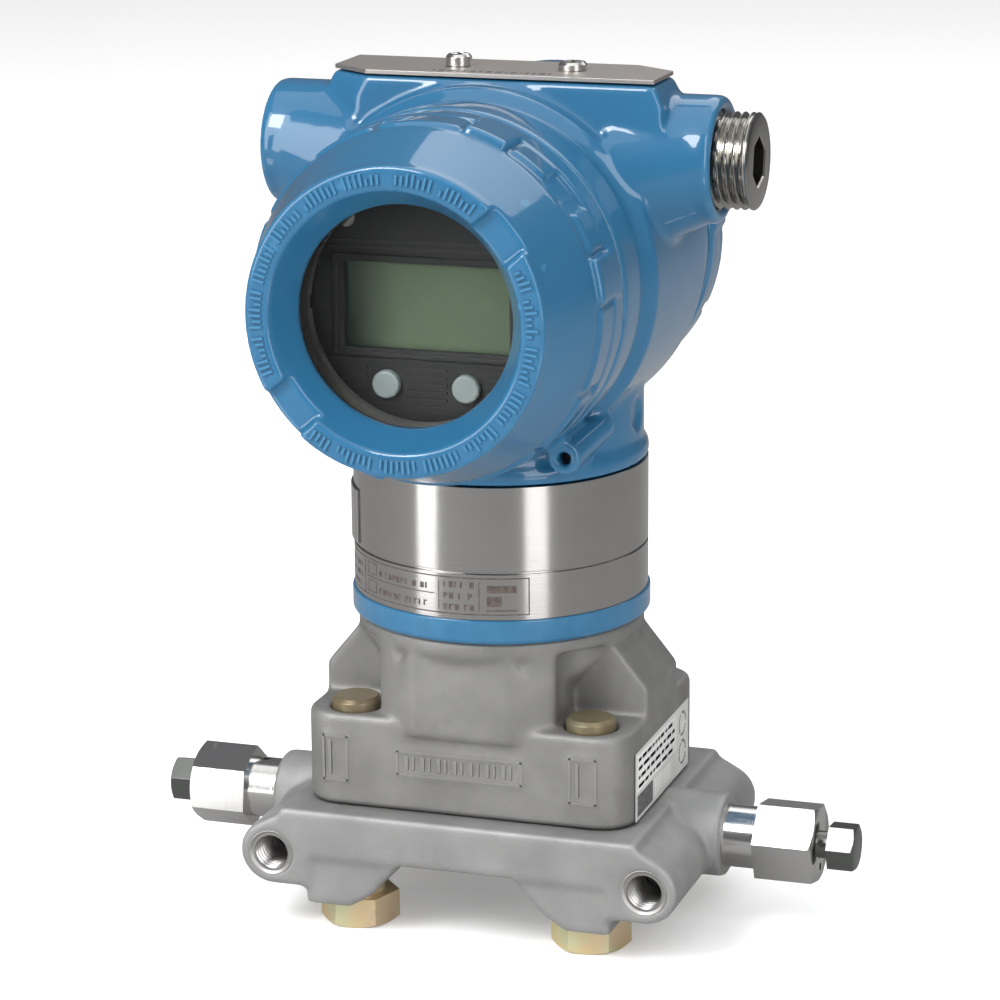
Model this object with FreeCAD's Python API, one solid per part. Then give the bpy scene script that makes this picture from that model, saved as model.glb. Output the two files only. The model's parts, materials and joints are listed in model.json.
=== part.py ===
import FreeCAD, Part
import math
import os

# Differential pressure transmitter: coplanar flange, sensor module and a housing with
# two compartments, a display at the front and field terminals at the back.
#
# Frame: millimetres, +Z up. The origin lies midway between the two process ports, on the
# underside of the flange. X runs along the ports and the drain valves; the display looks
# along -Y. The part stands on its four bolt heads.
#
# RISE and HEIGHT count upwards, DROP downwards, SETBACK towards the middle of the piece.

# ---------------------------------------------------------------- fits shared by many pieces
THREAD_FIT = 0.05
RUNNING_FIT = 0.09
FACE_GAP = 0.1
SEAL_GAP = 0.12
WELD_GAP = 0.02
SCREW_CLEARANCE = 0.2
HOLE_END_GAP = 0.4
OVERLAP = 1.0
SINK = 0.5
TOLERANCE = 0.01

# ---------------------------------------------------------------- coplanar flange
PORT_SPACING = 54.0
PORT_R = 6.6
PORT_DEPTH = 13.0
BOLT_SPACING_Y = 41.3
FLANGE_TOP = 21.9
FLANGE_EAR_MARGIN_Y = 13.75
FLANGE_HALF_WIDTH = 41.0
WEB_UNDERSIDE = 11.0
TOP_PLATE_STEP = 1.4
BASE_CLEARANCE = 0.3
EAR_SPACING = 85.6
EAR_Z = 11.3
EAR_R = 7.3
KEEL_OUTER_X = 34.0
KEEL_TOE_X = 25.0
KEEL_KNEE_X = 20.0
KEEL_KNEE_Z = 3.0
KEEL_ROOT_X = 12.9
KEEL_SETBACK = 0.7
MOUNT_HOLE_R = 4.5
MOUNT_HOLE_DEPTH = 15.0
VALVE_Z = 13.8
VALVE_BOSS_R = 9.3
VALVE_BOSS_END = 52.5
VALVE_THREAD_R = 6.5
VALVE_THREAD_DEPTH = 13.0
PASSAGE_R = 2.4
PASSAGE_SETBACK = 1.0

# ---------------------------------------------------------------- flange bolts, 7/16 inch
BOLT_R = 5.5
BOLT_HOLE_R = 5.95
BOLT_HEAD_FLATS = 15.4
BOLT_HEAD_HEIGHT = 6.8
BOLT_HEAD_BEVEL = 0.7
BOLT_HEAD_TURN_DEG = 12.0
BOLT_TIP_PROUD = 2.3
BOLT_TIP_CHAMFER = 0.8

# ---------------------------------------------------------------- drain and vent valves
SEAT_NECK_R = 6.9
SEAT_NECK_LENGTH = 7.4
SEAT_HEX_FLATS = 16.4
SEAT_HEX_LENGTH = 13.4
SEAT_HEX_BEVEL = 0.8
SEAT_BORE_DEPTH = 15.0
SEAT_END_GAP = 1.0
ORIFICE_R = 1.2
ORIFICE_TAPER = 2.0
VENT_HOLE_R = 0.9
VENT_HOLE_DROP = 5.2
VENT_HOLE_START = 2.0
VENT_OUTLET_SETBACK = 2.6
VENT_SHAFT_R = 3.0
VENT_HEAD_FLATS = 9.5
VENT_HEAD_LENGTH = 6.1
VENT_HEAD_BEVEL = 0.5
VENT_BALL_R = 2.2
VENT_BALL_SINK = 0.9
VENT_PITCH = 1.0583
VENT_BACKED_OFF_TURNS = 2
LEFT_SEAT_TURN_DEG = 38.0
RIGHT_SEAT_TURN_DEG = 10.0
LEFT_VENT_TURN_DEG = 18.0
RIGHT_VENT_TURN_DEG = 6.0

# ---------------------------------------------------------------- isolators under the module
ISOLATOR_X = 17.0
DIAPHRAGM_R = 11.0
DIAPHRAGM_THICK = 0.3
DIAPHRAGM_WAVE = 0.25
DIAPHRAGM_WAVES = 5
DIAPHRAGM_FIRST_WAVE_R = 2.2
DIAPHRAGM_WAVE_PITCH = 1.6
DIAPHRAGM_RECESS = 0.9
CHAMBER_DEPTH = 3.2
OIL_POCKET_R = 10.0
OIL_POCKET_DEPTH = 0.6
PROCESS_RING_R = 12.6
PROCESS_RING_SECTION_R = 1.1
TUBE_R = 1.1
TUBE_BORE_R = 0.5
TUBE_BEND_R = 6.0

# ---------------------------------------------------------------- module base casting
BASE_MARGIN_X = 10.5
BASE_MARGIN_Y = 7.85
BASE_CORNER_R = 8.0
BASE_EAR_HEIGHT = 21.1
BASE_EDGE_R = 1.2
WEB_HALF_WIDTH = 20.3
WEB_LEAN = 1.5
WEB_ROOT = 5.0
ARCH_R = 17.3
ARCH_RISE = 2.7
ARCH_FOOT_DROP = 6.0
ARCH_PROUD = 1.3
WEDGE_HALF_WIDTH = 37.3
WEDGE_HALF_DEPTH = 12.0
WEDGE_SHOULDER_RISE = 6.4
WEDGE_TOP_X = 29.0
RING_RISE = 16.5
RING_HEIGHT = 3.2
RING_SETBACK = 0.8
CORE_WAIST_R = 20.0
CORE_MIDDLE_R = 25.0
CORE_MIDDLE_RISE = 7.2
POCKET_R = 7.5
CAVITY_R = 15.0
CAVITY_FLOOR_RISE = 9.1
CAVITY_TOP_R = 24.0
CAVITY_STEP_DROP = 3.5
TUBE_SLOT_HALF_WIDTH = 19.5
TUBE_SLOT_HALF_DEPTH = 4.0
MARK_HEIGHT = 0.35
MARK_LINE = 0.5
LONG_MARK_LEFT = -15.1
LONG_MARK_WIDTH = 28.9
LONG_MARK_RISE = 8.4
LONG_MARK_HEIGHT = 5.8
BOX_MARK_RISE = 5.7
BOX_MARK_HEIGHT = 10.6
LEFT_BOX_MARK_X = -32.3
LEFT_BOX_MARK_WIDTH = 6.0
RIGHT_BOX_MARK_X = 24.2
RIGHT_BOX_MARK_WIDTH = 6.4

# ---------------------------------------------------------------- label, collar, module can
LABEL_THICK = 0.2
LABEL_FRONT_Y = -22.5
LABEL_LENGTH = 42.0
LABEL_RISE = 0.8
LABEL_HEIGHT = 15.5
CAN_R = 32.5
CAN_HEIGHT = 29.2
CAN_WALL = 5.0
CAN_DECK_THICK = 4.4
CAN_DECK_STEP = 2.0
CAN_DECK_LIP = 4.0
CAN_GROOVE_RISE = 10.4
CAN_GROOVE_WIDTH = 0.5
CAN_GROOVE_DEPTH = 0.4
COLLAR_PROUD = 0.5
COLLAR_HEIGHT = 5.5
COLLAR_BEVEL = 0.8
COLLAR_WALL = 4.5
SPIGOT_SETBACK = 5.5
SPIGOT_HEIGHT = 6.2
SPIGOT_WALL = 6.0
SPIGOT_CAP_THICK = 1.5
SPIGOT_BEVEL = 0.6
SPIGOT_END_GAP = 0.2
HOUSING_RING_SECTION_R = 1.1
HOUSING_RING_RISE = 2.4
HOUSING_RING_SQUEEZE = 0.03
TAG_THICK = 0.5
TAG_RISE = 11.2
TAG_HEIGHT = 12.0
TAG_START_DEG = 168.0
TAG_SWEEP_DEG = 48.0

# ---------------------------------------------------------------- pieces inside the module
CELL_R = 11.0
CELL_HALF_LENGTH = 6.0
CELL_RISE = 7.8
CELL_RIM_R = 12.0
CELL_RIM_HALF_LENGTH = 1.5
BOARD_THICK = 1.6
MODULE_BOARD_DROP = 8.9
MODULE_BOARD_GAP = 0.3
CONNECTOR_R = 7.0
CONNECTOR_PINS = 6
CONNECTOR_PIN_R = 0.5
CONNECTOR_PIN_LENGTH = 1.6
CONNECTOR_PIN_CIRCLE_R = 4.2
CONNECTOR_PIN_DROP = 0.4

# ---------------------------------------------------------------- electronics housing casting
NECK_SETBACK = 1.0
NECK_RIM_PROUD = 0.1
NECK_RIM_HEIGHT = 3.3
NECK_RIM_SLOPE = 1.0
NECK_HEIGHT = 17.0
BARREL_CLEARANCE = 2.0
BARREL_OVERHANG = 2.0
FRONT_COLLAR_R = 38.6
FRONT_COLLAR_LENGTH = 12.5
COLLAR_EDGE = 0.6
GROOVE_DEPTH = 1.0
GROOVE_LENGTH = 4.5
GROOVE_SLOPE = 0.8
BODY_PROUD = 1.7
BODY_SLOPE = 1.2
REAR_COLLAR_STEP = 0.4
REAR_COLLAR_LENGTH = 10.5
REAR_COLLAR_SLOPE = 1.0
COMPARTMENT_WALL = 6.6
FRONT_COMPARTMENT_DEPTH = 22.5
DIVIDER_THICK = 6.0
COVER_THREAD_WALL = 4.0
COVER_THREAD_LENGTH = 12.0
SEAL_POCKET_WALL = 1.5
SEAL_POCKET_DEPTH = 2.3
RIBBON_SLOT_WIDTH = 22.0
RIBBON_SLOT_DEPTH = 9.0
RIBBON_SLOT_SETBACK = 0.5
BLOCK_CREST = 0.9
BLOCK_SHOULDER_DROP = 4.5
BLOCK_HEIGHT = 20.9
BLOCK_FLARE = 2.2
BLOCK_TOP_MARGIN_Y = 0.5
BLOCK_SHOULDER_MARGIN_Y = 1.0
BLOCK_DRAFT_Y = 1.9
CONDUIT_DROP = 16.6
CONDUIT_BOSS_R = 13.65
CONDUIT_END = 50.3
CONDUIT_CHAMFER = 1.2
CONDUIT_THREAD_R = 10.4
CONDUIT_THREAD_DEPTH = 15.5
CONDUIT_MOUTH_CHAMFER = 0.8
CONDUIT_PASSAGE_R = 6.5
CONDUIT_PASSAGE_SETBACK = 1.0
GUSSET_INNER_X = 28.0
GUSSET_INNER_DROP = 4.9
GUSSET_INNER_R = 18.0
GUSSET_OUTER_SETBACK = 1.9
GUSSET_OUTER_R = 13.2
SET_SCREW_SETBACK = 7.5
SET_SCREW_RISE = 7.4
SET_SCREW_TILT_DEG = 7.0
SET_BOSS_SETBACK = 0.5
SET_BOSS_LENGTH = 13.0
SET_BOSS_R = 3.7
SET_RIDGE_R = 3.1
SET_RIDGE_START_X = 0.5
SET_RIDGE_START_Y = 1.2
SET_RIDGE_START_Z = 0.3
SET_RIDGE_RUN_X = 4.0
SET_RIDGE_RUN_Y = 16.5
SET_RIDGE_RUN_Z = 4.2
CORE_MARK_SETBACK = 5.2
CORE_MARK_WIDTH = 2.2
CORE_MARK_HEIGHT = 1.9
CORE_MARK_DEPTH = 0.9
CORE_MARK_LOW_DROP = 2.3
CORE_MARK_PITCH = 3.4
SIDE_DIMPLE_RISE = 10.7
SIDE_DIMPLE_R = 3.4
SIDE_DIMPLE_DEPTH = 1.4

# ---------------------------------------------------------------- small screws of the housing
SET_SCREW_R = 1.45
SET_SCREW_LENGTH = 8.0
SET_SCREW_KEY_FLATS = 1.5
SET_SCREW_KEY_DEPTH = 2.0
SET_SCREW_BACKED_OFF = 0.6
SET_SCREW_HOLE_PAST = 3.0
M3_R = 1.5
NAMEPLATE_SCREW_DEPTH = 7.0
LEFT_SCREW_X = -8.8
RIGHT_SCREW_X = 16.8
LEFT_SCREW_HEAD_R = 2.8
LEFT_SCREW_HEAD_HEIGHT = 2.5
RIGHT_SCREW_HEAD_R = 3.1
RIGHT_SCREW_HEAD_HEIGHT = 1.7
SCREW_EDGE = 0.5
SCREW_EDGE_HEIGHT = 0.6
CROSS_SLOT_WIDTH = 0.9
CROSS_SLOT_DEPTH = 1.0
CROSS_SLOT_MARGIN = 0.8

# ---------------------------------------------------------------- nameplate, adjust buttons
PLATE_GAP = 0.35
PLATE_THICK = 0.9
PLATE_LEFT = -35.6
PLATE_RIGHT = 37.8
PLATE_FRONT = -11.1
PLATE_REAR = 10.9
PLATE_CUT_X = 9.5
PLATE_CUT_Y = 6.8
PLATE_HOLE_GAP = 0.15
PLATE_SLOT_EXTRA_DEG = 6.0
ADJUST_SPACING = 9.0
ADJUST_R = 2.6
ADJUST_LENGTH = 5.0
ADJUST_TRAVEL = 1.5
BUTTON_EDGE = 0.4

# ---------------------------------------------------------------- conduit plug
PLUG_PROUD = 7.5
PLUG_BEVEL = 0.8
PLUG_END_GAP = 1.0
PLUG_KEY_FLATS = 9.6
PLUG_KEY_DEPTH = 9.0
PLUG_KEY_TURN_DEG = 20.0

# ---------------------------------------------------------------- covers
COVER_RIM_STEP = 0.2
COVER_RIM_WIDTH = 6.4
COVER_RIM_EDGE = 0.3
COVER_SKIRT_STEP = 1.1
COVER_WALL = 3.6
COVER_SPIGOT_LENGTH = 10.1
COVER_LENGTH = 34.2
BAND_SETBACK = 6.5
BAND_WIDTH = 4.9
BAND_HEIGHT = 2.5
BAND_EDGE = 0.5
BAND_DRAFT = 0.3
TAPER_LENGTH = 17.8
TAPER_STEP = 0.3
DISH_DEPTH = 7.6
DISH_WIDTH = 4.0
GLASS_SETBACK = 9.3
GLASS_OVERLAP = 3.0
GLASS_THICK = 6.0
GLASS_EDGE = 0.5
GASKET_THICK = 0.8
GASKET_SETBACK = 0.3
RETAINER_THICK = 2.4
RETAINER_LIP = 2.0
RETAINER_NOTCH_DEPTH = 1.0
RETAINER_NOTCH_HALF_WIDTH = 1.5
KEY_SLOT_WIDTH = 10.5
KEY_SLOT_DEG = 39.8
KEY_SLOT_INWARD = 2.0
KEY_SLOT_OUTWARD = 3.0
REAR_COVER_LENGTH = 18.1
REAR_TAPER_LENGTH = 5.2
REAR_TAPER_STEP = 3.5
REAR_COVER_WALL = 3.6
COVER_RING_SECTION_R = 1.05
COVER_RING_GAP = 0.15

# ---------------------------------------------------------------- grip pads round the covers
LUG_AXIS_DEG = 50.2
LUG_ROOT = 1.8
LUG_EDGE = 0.4
LOW_LUG_PROUD = 0.8
TALL_LUG_PROUD = 1.6
LOW_LUG_BACK = 1.0
TALL_LUG_BACK = 4.5
SHORT_LUG_FRONT = 7.5
TALL_LUG_FRONT = 9.0
LONG_LUG_FRONT = 8.5
SHORT_LUG_DEG = (7.2, 20.3)
TALL_LUG_DEG = (22.0, 36.2)
LONG_LUG_DEG = (37.9, 64.6)
LAST_LUG_DEG = (67.4, 88.4)
REAR_LUG_LENGTH = 11.4

# ---------------------------------------------------------------- display
METER_GAP = 3.0
METER_WINDOW_GAP = 2.8
METER_WALL = 1.6
METER_EDGE = 1.0
METER_FACE_THICK = 2.0
LCD_SIDE_MARGIN = 10.0
LCD_LOW_MARGIN = 18.2
LCD_HIGH_MARGIN = 19.7
LCD_BORDER = 1.2
LCD_THICK = 2.6
BEZEL_LINE = 0.6
BEZEL_OUTER_X = 2.2
BEZEL_INNER_X = 1.2
BEZEL_OUTER_Z = 1.6
BEZEL_INNER_Z = 0.8
BUTTON_X = 8.7
BUTTON_DROP = 7.3
BUTTON_R = 3.0
BUTTON_PROUD = 1.4
BUTTON_FLANGE_R = 3.8
BUTTON_FLANGE_THICK = 0.8
BUTTON_FLANGE_GAP = 0.2
DISPLAY_BOARD_STANDOFF = 6.0
HEADER_HALF_WIDTH = 9.0
HEADER_HALF_HEIGHT = 3.0
DISPLAY_SCREW_SETBACK = 3.6
DISPLAY_SCREW_DEG = 135.0
DISPLAY_SCREW_R = 1.2
DISPLAY_SCREW_HEAD_R = 1.9
DISPLAY_SCREW_HEAD = 1.5
DISPLAY_SCREW_RECESS = 0.2
DISPLAY_SCREW_BITE = 4.0
DISPLAY_POST_WALL = 0.9
DISPLAY_POST_SETBACK = 0.4

# ---------------------------------------------------------------- electronics and terminals
PUCK_GAP = 3.5
PUCK_THICK = 12.0
PUCK_SCREW_SETBACK = 4.8
PUCK_SCREW_DEG = 27.6
PUCK_SCREW_R = 1.5
PUCK_SCREW_HEAD_R = 2.8
PUCK_SCREW_HEAD = 1.6
PUCK_SCREW_RECESS = 3.0
PUCK_SCREW_BITE = 4.0
TERMINAL_GAP = 3.0
TERMINAL_FOOT_SETBACK = 13.3
TERMINAL_TOP_SETBACK = 9.0
TERMINAL_BASE_THICK = 7.0
TERMINAL_RIB_THICK = 6.0
TERMINAL_RIB_WIDTH = 1.6
TERMINAL_RIB_HALF_HEIGHT = 9.0
TERMINAL_ROW_SETBACK = 12.5
TERMINAL_SCREW_R = 2.0
TERMINAL_SCREW_BITE = 5.0
TERMINAL_HEAD_SIDE_GAP = 1.1
TERMINAL_HEAD_THICK = 2.2
TERMINAL_FIX_SETBACK = 6.5
TERMINAL_FIX_HEAD_R = 3.0
TERMINAL_FIX_BITE = 3.0
GROUND_SCREW_SETBACK = 6.8
GROUND_SCREW_HEAD_R = 3.4
GROUND_SCREW_BITE = 4.0
SCREW_SLOT_DEPTH = 0.9
SCREW_SLOT_HALF_WIDTH = 0.5

# ---------------------------------------------------------------- plan of flange and base, from the bolts
PORT_X = PORT_SPACING / 2
BOLT_X = PORT_X
BOLT_Y = BOLT_SPACING_Y / 2
EAR_X = EAR_SPACING / 2
FLANGE_HALF_DEPTH = BOLT_Y + FLANGE_EAR_MARGIN_Y
BASE_HALF_WIDTH = BOLT_X + BASE_MARGIN_X
BASE_HALF_DEPTH = BOLT_Y + BASE_MARGIN_Y

# ---------------------------------------------------------------- radii, worked out from can and barrel
RING_R = CAN_R - RING_SETBACK
COLLAR_R = CAN_R + COLLAR_PROUD
COLLAR_BORE_R = COLLAR_R - COLLAR_WALL
CAN_BORE_R = CAN_R - CAN_WALL
SPIGOT_R = CAN_R - SPIGOT_SETBACK
SPIGOT_BORE_R = SPIGOT_R - SPIGOT_WALL
NECK_R = CAN_R - NECK_SETBACK
NECK_RIM_R = CAN_R + NECK_RIM_PROUD
GROOVE_R = FRONT_COLLAR_R - GROOVE_DEPTH
BODY_R = FRONT_COLLAR_R + BODY_PROUD
REAR_COLLAR_R = FRONT_COLLAR_R - REAR_COLLAR_STEP
COMPARTMENT_R = FRONT_COLLAR_R - COMPARTMENT_WALL
COVER_THREAD_R = FRONT_COLLAR_R - COVER_THREAD_WALL
SEAL_POCKET_R = FRONT_COLLAR_R - SEAL_POCKET_WALL
COVER_RING_R = SEAL_POCKET_R - COVER_RING_SECTION_R - COVER_RING_GAP
COVER_RIM_R = FRONT_COLLAR_R - COVER_RIM_STEP
COVER_SKIRT_R = COVER_RIM_R - COVER_SKIRT_STEP
TAPER_BACK_R = COVER_SKIRT_R - TAPER_STEP
COVER_BORE_R = COVER_THREAD_R - COVER_WALL
BAND_OUTER_R = COVER_RIM_R - BAND_SETBACK
BAND_INNER_R = BAND_OUTER_R - BAND_WIDTH
WINDOW_R = BAND_INNER_R - DISH_WIDTH
GLASS_R = WINDOW_R + GLASS_OVERLAP
RETAINER_BORE_R = GLASS_R - RETAINER_LIP
METER_R = COVER_BORE_R - METER_GAP
LCD_HALF_WIDTH = METER_R - LCD_SIDE_MARGIN
DISPLAY_SCREW_CIRCLE_R = METER_R - DISPLAY_SCREW_SETBACK
PUCK_R = COMPARTMENT_R - PUCK_GAP
PUCK_SCREW_CIRCLE_R = PUCK_R - PUCK_SCREW_SETBACK
TERMINAL_R = COMPARTMENT_R - TERMINAL_GAP
TERMINAL_PITCH = (TERMINAL_R - TERMINAL_ROW_SETBACK) / 1.5
TERMINAL_HEAD_R = (TERMINAL_PITCH - TERMINAL_RIB_WIDTH) / 2 - TERMINAL_HEAD_SIDE_GAP
TERMINAL_FIX_X = TERMINAL_R - TERMINAL_FIX_SETBACK

# ---------------------------------------------------------------- heights, worked out upwards
BASE_EAR_TOP = FLANGE_TOP + BASE_EAR_HEIGHT
ARCH_Z = BASE_EAR_TOP + ARCH_RISE
WEDGE_SHOULDER_Z = BASE_EAR_TOP + WEDGE_SHOULDER_RISE
CORE_MIDDLE_Z = BASE_EAR_TOP + CORE_MIDDLE_RISE
RING_UNDERSIDE = BASE_EAR_TOP + RING_RISE
RING_TOP = RING_UNDERSIDE + RING_HEIGHT
CAVITY_FLOOR = FLANGE_TOP + CAVITY_FLOOR_RISE
CAVITY_STEP_Z = RING_UNDERSIDE - CAVITY_STEP_DROP
COLLAR_TOP = RING_TOP + COLLAR_HEIGHT
CELL_Z = COLLAR_TOP + CELL_RISE
CAN_GROOVE_Z = COLLAR_TOP + CAN_GROOVE_RISE
TAG_BOTTOM = COLLAR_TOP + TAG_RISE
TAG_TOP = TAG_BOTTOM + TAG_HEIGHT
CAN_TOP = COLLAR_TOP + CAN_HEIGHT
MODULE_BOARD_Z = CAN_TOP - MODULE_BOARD_DROP
HOUSING_RING_Z = CAN_TOP + HOUSING_RING_RISE
SPIGOT_TOP = CAN_TOP + SPIGOT_HEIGHT
SET_SCREW_Z = CAN_TOP + SET_SCREW_RISE
SIDE_DIMPLE_Z = CAN_TOP + SIDE_DIMPLE_RISE
BARREL_Z = CAN_TOP + BODY_R + BARREL_CLEARANCE
BLOCK_TOP = BARREL_Z + BODY_R + BLOCK_CREST
BLOCK_BOTTOM = BLOCK_TOP - BLOCK_HEIGHT
CONDUIT_Z = BLOCK_TOP - CONDUIT_DROP
GUSSET_INNER_Z = CONDUIT_Z - GUSSET_INNER_DROP
BLOCK_SHOULDER_Z = BLOCK_TOP - BLOCK_SHOULDER_DROP
PLATE_BOTTOM = BLOCK_TOP + PLATE_GAP
PLATE_TOP = PLATE_BOTTOM + PLATE_THICK
LCD_BOTTOM = BARREL_Z - METER_R + LCD_LOW_MARGIN
LCD_TOP = BARREL_Z + METER_R - LCD_HIGH_MARGIN
BUTTON_Z = LCD_BOTTOM - BUTTON_DROP
GROUND_SCREW_Z = BARREL_Z - COMPARTMENT_R + GROUND_SCREW_SETBACK

# ---------------------------------------------------------------- depths, worked out from the barrel's ends
BARREL_HALF_LENGTH = CAN_R + BARREL_OVERHANG
FRONT_COLLAR_BACK = FRONT_COLLAR_LENGTH - BARREL_HALF_LENGTH
BODY_FRONT = FRONT_COLLAR_BACK + GROOVE_LENGTH
BODY_BACK = BARREL_HALF_LENGTH - REAR_COLLAR_LENGTH
WALL_FRONT = FRONT_COMPARTMENT_DEPTH - BARREL_HALF_LENGTH
WALL_BACK = WALL_FRONT + DIVIDER_THICK
CONDUIT_PASSAGE_Y = WALL_BACK + CONDUIT_PASSAGE_R + CONDUIT_PASSAGE_SETBACK
PUCK_FACE = WALL_FRONT - PUCK_THICK
TERMINAL_FACE = WALL_BACK + TERMINAL_BASE_THICK
COVER_JOINT = BARREL_HALF_LENGTH + FACE_GAP
COVER_STEP = COVER_JOINT + COVER_RIM_WIDTH
COVER_FRONT = -COVER_JOINT - COVER_LENGTH
TAPER_BACK = COVER_FRONT + TAPER_LENGTH
DISH_FLOOR = COVER_FRONT + DISH_DEPTH
GLASS_FRONT = COVER_FRONT + GLASS_SETBACK
RETAINER_FACE = GLASS_FRONT + GASKET_THICK + GLASS_THICK
METER_FACE = RETAINER_FACE + RETAINER_THICK + METER_WINDOW_GAP
METER_BACK_WALL = METER_FACE + METER_FACE_THICK
DISPLAY_BOARD_Y = PUCK_FACE - DISPLAY_BOARD_STANDOFF
REAR_COVER_END = COVER_JOINT + REAR_COVER_LENGTH

# ---------------------------------------------------------------- other places worked out from these
SEAT_END = VALVE_BOSS_END + SEAT_NECK_LENGTH + SEAT_HEX_LENGTH
GUSSET_OUTER_X = CONDUIT_END - GUSSET_OUTER_SETBACK
SET_SCREW_X = NECK_R - SET_SCREW_SETBACK
SET_BOSS_FRONT = SET_BOSS_SETBACK - NECK_R
SIDES = (("left", -1), ("right", 1))


# ================================================================ shape helpers
def vector(x, y, z):
    return FreeCAD.Vector(x, y, z)


def block(x_low, x_high, y_low, y_high, z_low, z_high):
    """Box between two corners, given as three ranges."""
    corner = vector(x_low, y_low, z_low)
    return Part.makeBox(x_high - x_low, y_high - y_low, z_high - z_low, corner)


def rod(radius, start, end):
    """Cylinder of one radius from one point to another."""
    way = end.sub(start)
    return Part.makeCylinder(radius, way.Length, start, way)


def taper(start_radius, end_radius, start, end):
    """Cone from one point to another; equal radii are not allowed."""
    way = end.sub(start)
    return Part.makeCone(start_radius, end_radius, way.Length, start, way)


def hexagon_bar(flats, start, end, turn_deg):
    """Hexagonal bar; its first corner lies turn_deg round from the side direction."""
    way = end.sub(start)
    along_z = abs(way.z) > abs(way.x) + abs(way.y)
    side = vector(1, 0, 0) if along_z else vector(0, -1, 0)
    if abs(way.y) > abs(way.x) + abs(way.z):
        side = vector(1, 0, 0)
    up = vector(0, 1, 0) if along_z else vector(0, 0, 1)
    corner_radius = flats / 2 / math.cos(math.radians(30))
    corners = []
    for index in range(7):
        angle = math.radians(turn_deg + 60 * (index % 6))
        offset = side * (corner_radius * math.cos(angle)) + up * (corner_radius * math.sin(angle))
        corners.append(start.add(offset))
    return Part.Face(Part.makePolygon(corners)).extrude(way)


def chamfered_hexagon(flats, start, end, turn_deg, bevel):
    """Hexagonal bar with the corners turned off at its end, as on a bolt head."""
    bar = hexagon_bar(flats, start, end, turn_deg)
    way = end.sub(start)
    unit = vector(way.x, way.y, way.z).normalize()
    corner_radius = flats / 2 / math.cos(math.radians(30))
    knee = end.sub(unit * bevel)
    envelope = rod(corner_radius + OVERLAP, start, knee)
    crown = taper(corner_radius + THREAD_FIT, corner_radius - 2 * bevel, knee, end)
    return bar.common(envelope.fuse(crown))


def turned_about_y(profile, start_deg=0.0, sweep_deg=360.0):
    """Turn (radius, y) points about the barrel's axis; angles run from +Z towards +X."""
    points = [vector(0, y, BARREL_Z + radius) for radius, y in profile]
    face = Part.Face(Part.makePolygon(points + points[:1]))
    centre = vector(0, 0, BARREL_Z)
    face.rotate(centre, vector(0, 1, 0), start_deg)
    return face.revolve(centre, vector(0, 1, 0), sweep_deg)


def turned_about_z(profile, start_deg=0.0, sweep_deg=360.0, centre_x=0.0):
    """Turn (radius, z) points about an upright axis through (centre_x, 0)."""
    points = [vector(centre_x + radius, 0, z) for radius, z in profile]
    face = Part.Face(Part.makePolygon(points + points[:1]))
    centre = vector(centre_x, 0, 0)
    face.rotate(centre, vector(0, 0, 1), start_deg)
    return face.revolve(centre, vector(0, 0, 1), sweep_deg)


def profile_along_y(points, y_low, y_high):
    """Prism of an (x, z) outline between two depths."""
    corners = [vector(x, y_low, z) for x, z in points]
    face = Part.Face(Part.makePolygon(corners + corners[:1]))
    return face.extrude(vector(0, y_high - y_low, 0))


def profile_along_x(points, x_low, x_high):
    """Prism of a (y, z) outline between two widths."""
    corners = [vector(x_low, y, z) for y, z in points]
    face = Part.Face(Part.makePolygon(corners + corners[:1]))
    return face.extrude(vector(x_high - x_low, 0, 0))


def flat_wire(points, z):
    corners = [vector(x, y, z) for x, y in points]
    return Part.makePolygon(corners + corners[:1])


def seal_ring(mean_radius, section_radius, centre, axis):
    return Part.makeTorus(mean_radius, section_radius, centre, axis)


def fuse_all(shapes):
    """One solid from many that overlap."""
    return shapes[0].multiFuse(shapes[1:]).removeSplitter()


def mirrored_x(shape):
    """The same shape on the other side of the middle plane."""
    return shape.mirror(vector(0, 0, 0), vector(1, 0, 0))


def both_sides(shape):
    return [shape, mirrored_x(shape)]


def cross_slot(centre, radius, depth):
    """Cross recess of a screw head that faces +Z."""
    half = CROSS_SLOT_WIDTH / 2
    low = centre.z - depth
    one = block(centre.x - radius, centre.x + radius, centre.y - half, centre.y + half, low, centre.z)
    other = block(centre.x - half, centre.x + half, centre.y - radius, centre.y + radius, low, centre.z)
    return one.fuse(other)


# ================================================================ coplanar flange
def ear_tangent():
    """Where the slope from the plate's step touches the round ear."""
    step_z = FLANGE_TOP - TOP_PLATE_STEP
    away_x = FLANGE_HALF_WIDTH - EAR_X
    away_z = step_z - EAR_Z
    distance = math.hypot(away_x, away_z)
    angle = math.atan2(away_z, away_x) - math.acos(EAR_R / distance)
    return EAR_X + EAR_R * math.cos(angle), EAR_Z + EAR_R * math.sin(angle)


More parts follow.
